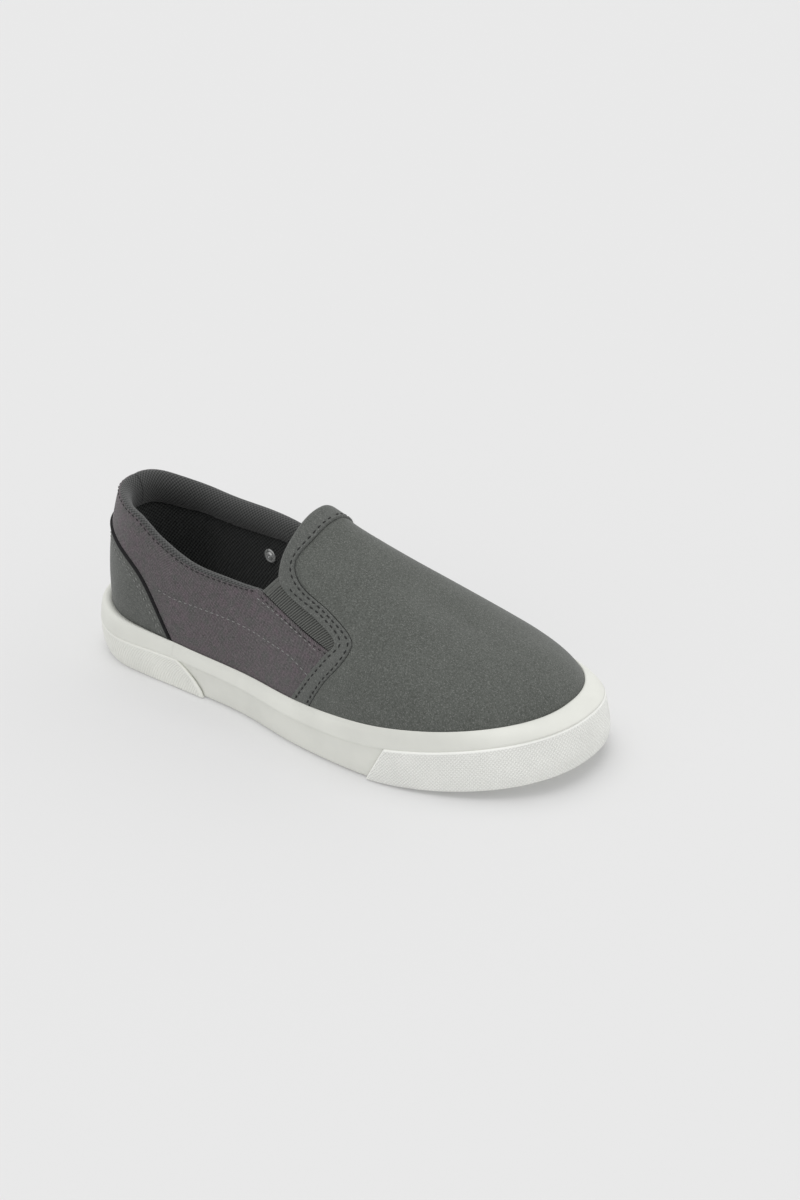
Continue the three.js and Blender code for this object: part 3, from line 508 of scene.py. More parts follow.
COLLAR = {
    "along": [0.00, 0.05, 0.09, 0.14, 0.20, 0.28, 0.36, 0.43, 0.455, 0.50],
    "lateral": [1.016, 1.000, 0.980, 0.950, 0.866, 0.780, 0.754, 0.758, 0.785, 0.865],
    "medial": [1.016, 0.950, 0.913, 0.885, 0.862, 0.852, 0.838, 0.790, 0.795, 0.865],
}
THROAT_ALONG, ROLL_END_ALONG, ROLL_DROP = 0.486, 0.438, 4.5


def seat_height(along):
    return rim_height(along) - SEAT_DEPTH


def wall_point(side, station, rise):
    along = along_at(station)
    x, y = outline(side, station, rim_inset(along) + SEAM_GAP + PANEL + CLEARANCE)
    z = seat_height(along)
    shorter = RIDGE_SHORT * np.clip(2 * along - 1, 0, 1) ** 2
    ridge_x = (mix(RIDGE_BACK, RIDGE_FRONT, along) - shorter) * LENGTH
    ridge_y = read(RIDGE, "side", along) * BALL_WIDTH
    power = 2 / by_side(RIDGE, side, along)
    angle = np.clip(rise, 0, 1) * np.pi / 2
    inward = 1 - np.maximum(np.cos(angle), 0) ** power
    upward = np.sin(angle) ** power
    lean = np.where(side > 0, read(LEAN, "medial", along), 0) * BALL_WIDTH * np.sin(np.pi * upward)
    top = read(RIDGE, "height", along) * INSTEP_HEIGHT
    across = mix(y, ridge_y, inward) + side * lean
    return np.stack([mix(x, ridge_x, inward), across, mix(z, top, upward)], -1)


def rise_at(side, station, height):
    along = along_at(station)
    low = seat_height(along)
    share = np.clip((height - low) / (read(RIDGE, "height", along) * INSTEP_HEIGHT - low), 0, 1)
    return np.arcsin(share ** (by_side(RIDGE, side, along) / 2)) * 2 / np.pi


def wall_normal(side, station, rise):
    s0, s1 = np.clip(station - 0.004, 0, 1), np.clip(station + 0.004, 0, 1)
    r0, r1 = np.clip(rise - 0.01, 0, 1), np.clip(rise + 0.01, 0, 1)
    up = wall_point(side, station, r1) - wall_point(side, station, r0)
    run = wall_point(side, s1, rise) - wall_point(side, s0, rise)
    crest = wall_point(side, s1, np.ones_like(rise)) - wall_point(side, s0, np.ones_like(rise))
    normal = np.cross(run, up) * -side[..., None]
    normal[..., 2] = np.where(rise <= 0, 0, normal[..., 2])
    level = np.zeros_like(normal[..., 0])
    at_heel = np.stack([-up[..., 2], level, up[..., 0]], -1)
    at_toe = np.stack([up[..., 2], level, -up[..., 0]], -1)
    at_ridge = np.stack([-crest[..., 2], level, crest[..., 0]], -1)
    normal = np.where((station <= 0)[..., None], at_heel, normal)
    normal = np.where((station >= 1)[..., None], at_toe, normal)
    normal = np.where((rise >= 1)[..., None], at_ridge, normal)
    return normal / (np.linalg.norm(normal, axis=-1, keepdims=True) + 1e-12)


def skin(side, station, rise, offset):
    shape = np.broadcast_shapes(np.shape(side), np.shape(station), np.shape(rise))
    side, station, rise = (np.broadcast_to(np.asarray(v, float), shape) for v in (side, station, rise))
    offset = np.broadcast_to(np.asarray(offset, float), shape)
    return wall_point(side, station, rise) + wall_normal(side, station, rise) * offset[..., None]


def edge_height(side, along):
    share = np.clip((along - ROLL_END_ALONG) / (THROAT_ALONG - ROLL_END_ALONG), 0, 1)
    return by_side(COLLAR, side, along) * COLLAR_HEIGHT - ROLL_DROP * (1 - share)


def lines(count, length, first=True, last=True, near=(0.12, 0.35, 0.7, 1.1, 1.6)):
    """Shares from 0 to 1, with extra lines close to the ends whose edges are rounded."""
    start = [0.0] + [d / length for d in near] if first else [0.0]
    end = [1 - d / length for d in reversed(near)] + [1.0] if last else [1.0]
    inner = np.linspace(start[-1], end[0], count + 1)[1:-1]
    return np.concatenate([start, inner, end])


def panel(name, spot, u, v, low, high, soft=1.0, edges="uUvV", relief=None, merge=False, inner=0.7):
    """A panel that follows the wall. Its edges named in edges (u, U, v, V) round down to the wall."""
    u, v = np.meshgrid(u, v, indexing="ij")
    side, station, rise = (np.asarray(a, float) + 0 * u for a in spot(u, v))
    middle = skin(side, station, rise, high)
    run, climb = lengths(middle, 0), lengths(middle, 1)
    gaps = {"u": run, "U": run[-1:] - run, "v": climb, "V": climb[:, -1:] - climb}
    near = np.full(u.shape, 99.0)
    for key in edges:
        near = np.minimum(near, gaps[key])
    offset = mix(low, high, rounded(near / soft))
    if relief is not None:
        offset = offset + relief(run, near)
    normal = skin(side, station, rise, 1.0) - skin(side, station, rise, 0.0)
    points = skin(side, station, rise, offset)
    piece = grid_object(name, points, np.stack([run, climb], -1), merge, outward=normal)
    back_wall(piece, inner)
    return piece


def twill(name, dark, light, rib, angle):
    """A twill weave: slanting ribs of yarn, each broken by the crossing threads."""
    made, tree, shader, place = material(name, 0.9, Sheen_Weight=0.25, Sheen_Roughness=0.5)
    turn = new_node(tree, "ShaderNodeMapping")
    turn.inputs["Rotation"].default_value = (0, 0, angle)
    tree.links.new(place.outputs["UV"], turn.inputs[0])
    along, across, _ = parts(tree, turn.outputs[0])
    ribs = maths(tree, "MULTIPLY", wave(tree, along, rib), 0.3)
    threads = maths(tree, "MULTIPLY", wave(tree, across, rib), 0.2)
    fuzz = maths(tree, "MULTIPLY", noise(tree, place.outputs["Object"], 2600, 2), 0.5)
    height = maths(tree, "ADD", maths(tree, "ADD", ribs, threads), maths(tree, "ADD", fuzz, 0.25))
    tree.links.new(ramp(tree, height, [(0.15, dark), (0.85, light)]), shader.inputs["Base Color"])
    bump(tree, shader, height, 0.00025, 0.7)
    return made, tree, shader, place


lining_twill = twill("lining_twill", (0.007, 0.008, 0.0078), (0.080, 0.085, 0.082), 1.45, 0.62)[0]


def both_sides(u):
    """The side that u is on and how far it is from the middle, where u runs from 0 outside to 1 inside."""
    t = 2 * u - 1
    return np.where(t <= 0, -1.0, 1.0), np.abs(t)


def lining_back(u, v):
    side, out = both_sides(u)
    station = out * station_at(THROAT_ALONG)
    return side, station, v * rise_at(side, station, edge_height(side, along_at(station)))


def lining_front(u, v):
    side, out = both_sides(u)
    return side, mix(1.0, station_at(THROAT_ALONG), out), v


back_lining = panel(
    "back_lining", lining_back, np.linspace(0, 1, 161), np.linspace(0, 1, 31), 0, 0, edges="", inner=WALL
)
finish_piece(back_lining, lining_twill, "lining", "upper")
FRONT_IN, FRONT_THICKNESS = -1.4, 0.8
front_lining = panel(
    "front_lining",
    lining_front,
    np.linspace(0, 1, 121),
    np.linspace(0, 1, 41),
    FRONT_IN,
    FRONT_IN,
    edges="",
    merge=True,
    inner=FRONT_THICKNESS,
)
finish_piece(front_lining, lining_twill, "lining")

# The insole is a thin foam board covered with the same dark cloth. It lies on the floor of the cup, and
# its edge is rounded where it meets the lining.
INSOLE_SECTION = [(4.4, 8.35), (4.4, 11.2), (4.8, 11.9), (7.0, 11.6), (14.0, 11.2)]
insole_levels = [
    (lambda a, inset=inset: rim_inset(a) + inset, lambda a, height=height: spring_at(a) + height)
    for inset, height in INSOLE_SECTION
]
insole = ring_object("insole_board", insole_levels, 90)
finish_piece(insole, lining_twill, "lining", "insole")

# The vamp is one piece of fine grey nubuck over the toe and instep, with a light speckle in its nap.
# Its rear edge turns down into the seam beside the throat binding.
BINDING = {
    "run": [0.00, 0.15, 0.28, 0.36, 0.47, 0.60, 0.69, 0.84, 1.00],
    "rear_along": [0.535, 0.579, 0.619, 0.640, 0.592, 0.500, 0.480, 0.484, 0.488],
    "rear_rise": [0.000, 0.155, 0.300, 0.388, 0.436, 0.468, 0.550, 0.760, 1.000],
    "front_along": [0.582, 0.622, 0.664, 0.673, 0.613, 0.532, 0.504, 0.519, 0.527],
    "front_rise": [0.000, 0.172, 0.330, 0.440, 0.502, 0.528, 0.600, 0.780, 1.000],
}
SEAM_ALONG = 0.006
FLECK = (0.27, 0.275, 0.262, 1)
CREST_REACH, CREST_END, CREST_STEPS = 30, 205, 150


def binding_edge(edge, run, gap=0.0):
    along = read(BINDING, edge + "_along", run, "run") + gap
    rise = np.clip(read(BINDING, edge + "_rise", run, "run"), 0, 1)
    return station_at(along), np.where(run >= 1, 1.0, rise)


def nubuck(name, dark, light):
    """Buffed leather with a fine nap, and pale flecks in it."""
    made, tree, shader, place = material(
        name, 0.88, Sheen_Weight=0.18, Sheen_Roughness=0.45, Specular_IOR_Level=0.25
    )
    spot = place.outputs["Object"]
    cloud = maths(tree, "MULTIPLY", noise(tree, spot, 45, 3), 0.16)
    grain = maths(tree, "MULTIPLY", noise(tree, spot, 1300, 3, 0.7), 0.84)
    ground = ramp(tree, maths(tree, "ADD", cloud, grain), [(0.36, dark), (0.64, light)])
    flecks = maths(tree, "GREATER_THAN", noise(tree, spot, 1900, 1), 0.625)
    flecked = blend(tree, "MIX", maths(tree, "MULTIPLY", flecks, 0.38), ground, FLECK)
    tree.links.new(flecked, shader.inputs["Base Color"])
    bump(tree, shader, noise(tree, spot, 2200, 2), 0.00012, 0.6)
    return made


vamp_nubuck = nubuck("vamp_nubuck", (0.074, 0.079, 0.071), (0.131, 0.139, 0.127))


def vamp_spot(u, v):
    side, out = both_sides(u)
    station, rise = binding_edge("front", v, 0.0008)
    start_rise = rise + 0.002 * np.sin(np.pi * v)
    return side, mix(1.0, station, out), mix(v, start_rise, out)


vamp_rows = np.concatenate([np.linspace(0, 0.96, 60), [0.975, 0.99, 1.0]])
vamp = panel(
    "vamp_leather",
    vamp_spot,
    lines(120, 200),
    vamp_rows,
    1.0,
    SEAM_GAP + PANEL + 0.25,
    0.7,
    "uU",
    merge=True,
    inner=0.8,
)
bm = bmesh.new()
bm.from_mesh(vamp.data)
crest = []
for vert in bm.verts:
    x, y = vert.co.x * 1000 + CENTRE_FORWARD, vert.co.y * 1000 + CENTRE_SIDE
    along = (x / LENGTH - RIDGE_BACK) / (RIDGE_FRONT - RIDGE_SHORT - RIDGE_BACK)
    from_crest = abs(y - float(read(RIDGE, "side", along)) * BALL_WIDTH) + max(x - CREST_END, 0)
    if not vert.is_boundary:
        crest.append((vert, from_crest))
for step in range(CREST_STEPS):
    reach = CREST_REACH * (1 - step / (CREST_STEPS + 40))
    chosen = [vert for vert, far in crest if far < reach]
    bmesh.ops.smooth_vert(bm, verts=chosen, factor=0.5, use_axis_x=True, use_axis_y=True, use_axis_z=True)
bm.to_mesh(vamp.data)
bm.free()
finish_piece(vamp, vamp_nubuck, "suede", "vamp")

# The binding is a strip of the same nubuck, folded over the edge of the throat and sewn down beside
# each gore as far as the sole.
binding_nubuck = nubuck("binding_nubuck", (0.080, 0.084, 0.078), (0.136, 0.142, 0.133))
FREE_FROM, FREE_TO = 0.54, 0.66
ROW_IN, REAR_ROW_IN, DENT_DEPTH, DENT_WIDTH = 1.6, 2.4, 0.2, 0.45
TUCK_REACH = 7.0


def dent(distance, width):
    """The dent that a row of stitches pulls, from 1 on the row to 0 away from it."""
    return np.exp(-((distance / width) ** 2))


def square_to(directions, normal):
    """Directions turned square to the normals, a millimetre long."""
    flat = directions - normal * np.sum(directions * normal, -1, keepdims=True)
    return flat / np.linalg.norm(flat, axis=-1, keepdims=True)


def binding_object():
    half = 131
    run = np.concatenate([np.linspace(0, 1, half), np.linspace(1, 0, half)[1:]])
    side = np.concatenate([np.full(half, -1.0), np.full(half - 1, 1.0)])
    front, rear = binding_edge("front", run), binding_edge("rear", run)

    def strip(share, offset):
        """Points at a share of the way from the front edge to the rear one."""
        return skin(side, mix(front[0], rear[0], share), mix(front[1], rear[1], share), offset)

    across = lines(10, 9.5, near=(0.1, 0.3, 0.6, 0.9, 1.3, 1.7, 2.1, 2.6))
    free = smooth_step((run - FREE_FROM) / (FREE_TO - FREE_FROM))
    high = SEAM_GAP + PANEL + 0.3 + 0.3 * np.clip(run / 0.15, 0, 1)
    inner = mix(SEAM_GAP * 0.5, -WALL - 0.7, free)
    edge = strip(1.0, 0.0)
    normal = strip(1.0, 1.0) - edge
    back = square_to(edge - strip(0.85, 0.0), normal)
    width = np.linalg.norm(edge - strip(0.0, 0.0), axis=-1)
    columns = []
    for share in across:
        near = share * width
        rows = dent(near - ROW_IN, DENT_WIDTH) + dent(width - near - REAR_ROW_IN, DENT_WIDTH) * (1 - free)
        columns.append(strip(share, mix(0.95, high, rounded(near / 0.7)) - DENT_DEPTH * rows))
    for turn in np.linspace(0, np.pi, 15)[1:]:
        offset = mix(inner, high, (1 + np.cos(turn)) / 2)
        out = mix(0.35, (high - inner) / 2 * 0.85, free) * np.sin(turn)
        columns.append(edge + normal * offset[:, None] + back * out[:, None])
    for tuck in np.linspace(0, 1, 7)[1:]:
        share = 1 - tuck * np.minimum(TUCK_REACH / width, 0.9)
        columns.append(strip(share, inner + 0.3 * tuck * free))
    points = np.stack(columns, 1)
    outward = np.zeros_like(points)
    outward[:, : len(across)] = normal[:, None]
    return grid_object("throat_strip", points, outward=outward)


throat_strip = binding_object()
finish_piece(throat_strip, binding_nubuck, "suede", "throat_binding")

# The heel counter is the binding's nubuck, cut in one piece round the back of the heel. Its front edges
# slant down to the sole along the seam with the quarters.
COUNTER_TOP = {"along": [0.00, 0.05, 0.105, 0.145, 0.178], "height": [0.816, 0.790, 0.730, 0.678, 0.605]}
COUNTER_FRONT = {"up": [0.00, 0.35, 0.68, 1.00], "along": [0.247, 0.225, 0.203, 0.178]}
COUNTER_CORNER = COUNTER_TOP["along"][-1]


def counter_seam():
    """The seam's line, forward and height in millimetres, from the back of the heel to the sole."""
    top = np.linspace(0, COUNTER_CORNER, 90)
    up = np.linspace(1, 0, 90)[1:]
    front = read(COUNTER_FRONT, "along", up, "up")
    low = seat_height(front)
    corner = COUNTER_TOP["height"][-1] * COLLAR_HEIGHT
    line = np.concatenate(
        [
            np.stack([top * LENGTH, read(COUNTER_TOP, "height", top) * COLLAR_HEIGHT], -1),
            np.stack([front * LENGTH, mix(low, corner, up)], -1),
        ]
    )
    run = lengths(line, 0)
    even = np.linspace(0, run[-1], 200)
    line = np.stack([np.interp(even, run, line[:, k]) for k in (0, 1)], -1)
    for _ in range(500):
        line[1:-1] = (line[:-2] + 2 * line[1:-1] + line[2:]) / 4
    return line


SEAM_LINE = counter_seam()
SEAM_AHEAD = np.gradient(SEAM_LINE, axis=0)
SEAM_AHEAD /= np.linalg.norm(SEAM_AHEAD, axis=-1, keepdims=True)


def seam_spot(side, share, gap):
    """Station and rise on the seam, or at a gap in millimetres above and in front of it."""
    at = np.linspace(0, 1, len(SEAM_LINE))
    x = np.interp(share, at, SEAM_LINE[:, 0] - gap * SEAM_AHEAD[:, 1])
    z = np.interp(share, at, SEAM_LINE[:, 1] + gap * SEAM_AHEAD[:, 0])
    x = np.where(share <= 0, 0, np.maximum(x, 0))
    station = station_at(x / LENGTH)
    return station, rise_at(side, station, z)


def counter_spot(u, v):
    side, out = both_sides(u)
    station, rise = seam_spot(side, out, -0.5)
    foot = out**1.3 * station_at(COUNTER_FRONT["along"][0] - SEAM_ALONG * 0.4)
    return side, mix(foot, station, v), rise * v


counter_rows = lines(26, 38, first=False)
counter = panel(
    "counter_leather", counter_spot, np.linspace(0, 1, 81), counter_rows, 0.8, SEAM_GAP + PANEL, 1.0, "V"
)
finish_piece(counter, binding_nubuck, "suede", "heel_counter")

# The quarters are mauve-grey canvas, one on each side, from the back of the heel to the binding. Each
# is folded in at the gore and sewn there.
QUARTER_TURN, QUARTER_CORNER, QUARTER_FOOT_FRONT = 0.4, 0.72, 0.542
CANVAS_OVER, CANVAS_OVER_HEEL = 3.6, 0.8
GORE = {
    "run": [0.00, 0.33, 0.66, 1.00],
    "rear_along": [0.453, 0.511, 0.574, 0.640],
    "rear_rise": [0.401, 0.382, 0.361, 0.341],
    "front_along": [0.479, 0.541, 0.598, 0.645],
    "front_rise": [0.494, 0.455, 0.429, 0.392],
}


def quarter_foot(side, across):
    front = (across - QUARTER_TURN) / (1 - QUARTER_TURN)
    start = station_at(COUNTER_FRONT["along"][0] + 0.002)
    station_c = mix(start, station_at(QUARTER_FOOT_FRONT), front)
    station_s, rise_s = seam_spot(side, np.clip(across / QUARTER_TURN, 0, 1), 0.5)
    behind = across <= QUARTER_TURN
    return np.where(behind, station_s, station_c), np.where(behind, rise_s, 0.0)


def canvas_over(along):
    """How far the canvas climbs over the edge: a little further round the heel, in millimetres."""
    return CANVAS_OVER + CANVAS_OVER_HEEL * smooth_step(1 - along / 0.16)


def quarter_top(side, across):
    middle = station_at(COUNTER_FRONT["along"][0])
    before = middle * (across / QUARTER_TURN) ** 0.7
    past_turn = (across - QUARTER_TURN) / (QUARTER_CORNER - QUARTER_TURN)
    after = mix(middle, station_at(ROLL_END_ALONG), past_turn)
    station_a = np.where(across < QUARTER_TURN, before, after)
    along_a = along_at(station_a)
    rise_a = rise_at(side, station_a, edge_height(side, along_a) + canvas_over(along_a))
    share = np.clip((across - QUARTER_CORNER) / (1 - QUARTER_CORNER), 0, 1)
    along = mix(GORE["rear_along"][0] - SEAM_ALONG, 0.635, share)
    rise_b = mix(read(GORE, "rear_rise", share, "run") - 0.012, 0.335, share**4)
    corner = across <= QUARTER_CORNER
    return np.where(corner, station_a, station_at(along)), np.where(corner, rise_a, rise_b)


def quarter_spot(side_sign):
    def spot(u, v):
        side = np.full(u.shape, side_sign)
        foot, top = quarter_foot(side, u), quarter_top(side, u)
        station = np.maximum(mix(foot[0], top[0], v), 0.004)
        return side, station, mix(foot[1], top[1], v)

    return spot


CANVAS_WARP, CANVAS_WEFT = 0.9, 1.05
canvas, tree, shader, place = material(
    "mauve_canvas", 0.93, Sheen_Weight=0.2, Sheen_Roughness=0.5, Specular_IOR_Level=0.2
)
run, climb, _ = parts(tree, place.outputs["UV"])
weave = maths(tree, "MULTIPLY", wave(tree, run, CANVAS_WARP), wave(tree, climb, CANVAS_WEFT))
yarn = noise(tree, place.outputs["Object"], 1500, 3, 0.7)
height = maths(tree, "ADD", maths(tree, "MULTIPLY", weave, 0.34), maths(tree, "MULTIPLY", yarn, 0.97))
yarn_tones = [(0.15, (0.036, 0.033, 0.034)), (0.5, (0.094, 0.084, 0.087)), (0.85, (0.222, 0.204, 0.207))]
ground = ramp(tree, height, yarn_tones)
cloud = noise(tree, place.outputs["Object"], 260, 3)
tint = ramp(tree, cloud, [(0.3, (0.90, 0.98, 0.93)), (0.7, (1.12, 1.0, 1.09))])
tree.links.new(blend(tree, "MULTIPLY", 1.0, ground, tint), shader.inputs["Base Color"])
bump(tree, shader, height, 0.00022, 0.7)

quarter_turns = [QUARTER_TURN, QUARTER_CORNER, QUARTER_CORNER + 0.004]
quarter_lines = np.unique(np.concatenate([lines(90, 145), quarter_turns]))
for word, sign in (("lateral", -1.0), ("medial", 1.0)):
    name = "quarter_canvas_" + word
    spot = quarter_spot(sign)
    quarter = panel(name, spot, quarter_lines, lines(30, 32), SEAM_GAP, SEAM_GAP + PANEL, 0.9)
    finish_piece(quarter, canvas, "canvas", "quarter_" + word)

# An elastic gore fills the slit on each side. It is woven with ribs across it and has a folded hem
# at its free end.
GORE_RIB, GORE_HEM, HEM_ROW, GORE_OVERLAP = 1.2, 3.3, 1.9, 0.010
elastic, tree, shader, place = material("ribbed_elastic", 0.9, Sheen_Weight=0.15)
run, across, _ = parts(tree, place.outputs["UV"])
past_hem = maths(tree, "GREATER_THAN", run, GORE_HEM)
ribs = maths(tree, "MULTIPLY", wave(tree, run, GORE_RIB, "COSINE"), past_hem)
tone = maths(tree, "ADD", maths(tree, "MULTIPLY", ribs, 0.3), noise(tree, place.outputs["Object"], 2600, 2))
rib_colour = ramp(tree, tone, [(0.2, (0.056, 0.058, 0.054)), (0.8, (0.142, 0.147, 0.136))])
tree.links.new(rib_colour, shader.inputs["Base Color"])


def gore_ribs(run, near):
    rib = 0.32 * np.cos(2 * np.pi * run / GORE_RIB) * (run > GORE_HEM)
    hem = 0.35 * (run < GORE_HEM) - 0.3 * dent(run - HEM_ROW, 0.25)
    return (rib + hem) * np.clip(near / 0.6, 0, 1)


for word, sign in (("lateral", -1.0), ("medial", 1.0)):

    def gore_spot(u, v, sign=sign):
        along = mix(read(GORE, "rear_along", u, "run"), read(GORE, "front_along", u, "run"), v)
        rise = mix(read(GORE, "rear_rise", u, "run"), read(GORE, "front_rise", u, "run"), v)
        along = along - GORE_OVERLAP * 0.4 * (1 - v)
        return np.full(u.shape, sign), station_at(along), rise + GORE_OVERLAP * (2 * v - 1)

    name = "gore_" + word + "_web"
    gore = panel(name, gore_spot, np.linspace(0, 1, 241), lines(8, 8), 0.3, 0.95, 0.5, "uv", gore_ribs)
    finish_piece(gore, elastic, "elastic", "gore_" + word)

# A black cord is sewn into the seam between counter and quarters. It runs up from the sole, over the
# heel and down to the sole on the other side.
PIPING_RADIUS, PIPING_END = 0.95, 0.96


def carried(name, side, station, rise, section):
    """A cord whose section, points of (outward, upward), is carried along spots on the wall."""
    spots = skin(side, station, rise, 0.0)
    out = skin(side, station, rise, 1.0) - spots
    up = square_to(np.cross(out, np.gradient(spots, axis=0)), out)
    columns = [spots + out * o + up * h for o, h in section + section[:1]]
    piece = grid_object(name, np.stack(columns, 1), merge=True)
    close_up(piece)
    return piece


piping_cloth, tree, shader, place = material("black_piping", 0.75, Specular_IOR_Level=0.3)
grain = noise(tree, place.outputs["Object"], 1500, 2)
black = ramp(tree, grain, [(0.3, (0.003, 0.003, 0.0034)), (0.7, (0.010, 0.010, 0.011))])
tree.links.new(black, shader.inputs["Base Color"])
half = 90
across = np.concatenate([np.linspace(PIPING_END, 0, half), np.linspace(0, PIPING_END, half)[1:]])
side = np.concatenate([np.full(half, 1.0), np.full(half - 1, -1.0)])
angles = np.linspace(0, 2 * np.pi, 13)[:-1]
cord_section = [(SEAM_GAP + PANEL + PIPING_RADIUS * np.cos(a), PIPING_RADIUS * np.sin(a)) for a in angles]
piping = carried("piping_cord", side, *seam_spot(side, across, 0.0), cord_section)
finish_piece(piping, piping_cloth, "piping", "counter_piping")

# The collar is a soft roll of foam in dark twill, with a seam at the back. It starts at a sewn line just
# outside the edge, goes over the top and reaches down inside, where it is turned under. It thins out to
# its front ends.
ROLL_SECTION = [
    (0.9, 2.7), (1.1, 3.1), (1.25, 3.6), (1.15, 4.1), (0.7, 4.6), (0.0, 4.85),
    (-1.0, 4.8), (-2.2, 4.3), (-3.4, 3.3), (-4.5, 1.8), (-5.3, 0.0), (-5.8, -2.6),
    (-5.9, -5.6), (-5.5, -8.4), (-4.6, -10.4), (-3.4, -11.2), (-2.4, -11.0),
    (-2.2, -9.0), (-2.2, -4.0), (-2.2, 0.4), (0.3, 0.7), (0.6, 1.5),
]
ROLL_DEPTH = {
    "along": [0.0, 0.06, 0.12, 0.20, 0.28, 0.36, 0.45],
    "share": [1.0, 0.95, 0.79, 0.74, 0.68, 0.52, 0.40],
}
ROLL_LINER, ROLL_FULL_FROM, TIP_LENGTH = -2.2, 26.0, 4.0
BACK_SEAM_HALF, BACK_SEAM_FORWARD = 0.35, -90.0
roll_count = 110
t = np.linspace(-1, 1, 2 * roll_count + 1)
side = np.where(t < 0, -1.0, 1.0)
station = np.abs(t) * station_at(ROLL_END_ALONG + 0.012)
along = along_at(station)
rise = rise_at(side, station, edge_height(side, np.minimum(along, ROLL_END_ALONG)))
edge = skin(side, station, rise, 0.0)
out = skin(side, station, rise, 1.0) - edge
up = square_to(skin(side, station, rise + 0.01, 0.0) - skin(side, station, rise - 0.01, 0.0), out)
to_end = np.minimum(lengths(edge, 0)[-1] - lengths(edge, 0), lengths(edge, 0))
full = smooth_step(to_end / ROLL_FULL_FROM)
tip = mix(0.35, 1.0, np.sqrt(np.clip(to_end / TIP_LENGTH, 0, 1)))
depth = read(ROLL_DEPTH, "share", along)
thick = mix(0.05, mix(0.8, 1.1, depth), full)
columns = []
for o, h in ROLL_SECTION + ROLL_SECTION[:1]:
    o_here = ROLL_LINER + (o - ROLL_LINER) * (thick if o < ROLL_LINER else 1)
    h_here = h * depth * tip if h < 0 else mix(2.2, h, tip) * mix(0.85, 1.0, full)
    level = edge[:, 2] + h_here * up[:, 2]
    follow = skin(side, station, rise_at(side, station, level), o_here)
    straight = edge + out * np.reshape(o_here, (-1, 1)) + up * h_here[:, None]
    share = min(max((-h - 0.4) / 4.0, 0), 1)
    columns.append(mix(straight, follow, share))
points = np.stack(columns, 1)
run = np.broadcast_to(lengths(edge, 0)[:, None], points.shape[:2])
collar = grid_object("collar_padding", points, np.stack([run, lengths(points, 1)], -1), merge=True)
close_up(collar)
round_off = collar.modifiers.new("round", "SUBSURF")
round_off.levels = round_off.render_levels = 1
collar_twill, tree, shader, place = twill(
    "collar_twill", (0.018, 0.019, 0.0185), (0.088, 0.090, 0.088), 1.3, -0.75
)
x, y, z = parts(tree, place.outputs["Object"])
from_seam = maths(tree, "ABSOLUTE", maths(tree, "ADD", y, CENTRE_SIDE / 1000))
seam = maths(tree, "LESS_THAN", from_seam, BACK_SEAM_HALF / 1000)
seam = maths(tree, "MULTIPLY", seam, maths(tree, "LESS_THAN", x, BACK_SEAM_FORWARD / 1000))
cloth = shader.inputs["Base Color"].links[0].from_socket
sewn = blend(tree, "MIX", maths(tree, "MULTIPLY", seam, 0.75), cloth, (0.008, 0.008, 0.008, 1))
tree.links.new(sewn, shader.inputs["Base Color"])
finish_piece(collar, collar_twill, "lining", "collar_roll")

# The flap is a patch of nubuck on the inner quarter, with its rear corners rounded. It is sewn on all
# round with dark thread.
FLAP_HEIGHT, FLAP_THICKNESS = SEAM_GAP + PANEL + CLEARANCE, 1.1
FLAP_FRONT, FLAP_REAR, FLAP_SLANT = 0.602, 0.449, 0.066


def flap_spot(u, v):
    narrow = np.where(u > 0.6, 1 - 0.22 * (np.clip(u - 0.6, 0, 1) / 0.4) ** 2, 1)
    across = 0.5 + (v - 0.5) * narrow
    along = mix(FLAP_FRONT, FLAP_REAR, u) - FLAP_SLANT * across
    top, foot = mix(0.328, 0.382, u), mix(0.16, 0.2, u)
    return np.full(u.shape, 1.0), station_at(along), mix(top, foot, across)


flap = panel(
    "side_patch",
    flap_spot,
    lines(40, 48),
    lines(24, 22),
    FLAP_HEIGHT - 0.6,
    FLAP_HEIGHT + FLAP_THICKNESS,
    0.9,
)
finish_piece(flap, binding_nubuck, "suede", "side_flap")

# The vent eyelet is a turned metal grommet, clenched on both sides of the inner quarter. Its centre is
# a low dome with a small hole.
EYE_ALONG, EYE_HEIGHT, EYE_THROAT = 0.284, 41.5, 2.0
eye_side, eye_station = np.array([1.0]), station_at(np.array([EYE_ALONG]))
eye_rise = rise_at(eye_side, eye_station, EYE_HEIGHT)
eye_point = skin(eye_side, eye_station, eye_rise, 0.0)[0]
eye_out = skin(eye_side, eye_station, eye_rise, 1.0)[0] - eye_point
eye_turn = Vector(eye_out).to_track_quat("Z", "Y").to_matrix().to_4x4()
eye_place = Matrix.Translation(Vector(in_frame(eye_point))) @ eye_turn
face = [
    (0.35, 1.1), (0.9, 1.2), (1.5, 0.95), (1.85, 0.45), (2.05, 0.3),
    (2.3, 0.45), (2.6, 0.72), (3.0, 0.72), (3.35, 0.45), (3.5, 0.1),
]
profile = [(r, FLAP_HEIGHT + h) for r, h in face]
profile += [(EYE_THROAT, FLAP_HEIGHT), (EYE_THROAT, -WALL - CLEARANCE)]
profile += [(r, -WALL - 0.2 - h) for r, h in reversed(face)]
bm = bmesh.new()
verts = [bm.verts.new((r * 0.001, 0, h * 0.001)) for r, h in profile]
edges = [bm.edges.new((verts[k], verts[(k + 1) % len(verts)])) for k in range(len(verts))]
bmesh.ops.spin(
    bm,
    geom=verts + edges,
    cent=(0, 0, 0),
    axis=(0, 0, 1),
    angle=2 * np.pi,
    steps=40,
    use_merge=True,
    use_duplicate=False,
)
bmesh.ops.remove_doubles(bm, verts=bm.verts[:], dist=1e-6)
bmesh.ops.recalc_face_normals(bm, faces=bm.faces[:])
bmesh.ops.transform(bm, matrix=eye_place, verts=bm.verts[:])
grommet = new_piece("vent_grommet", bm)
bright_metal, tree, shader, place = material("bright_metal", 0.22, Metallic=0.35)
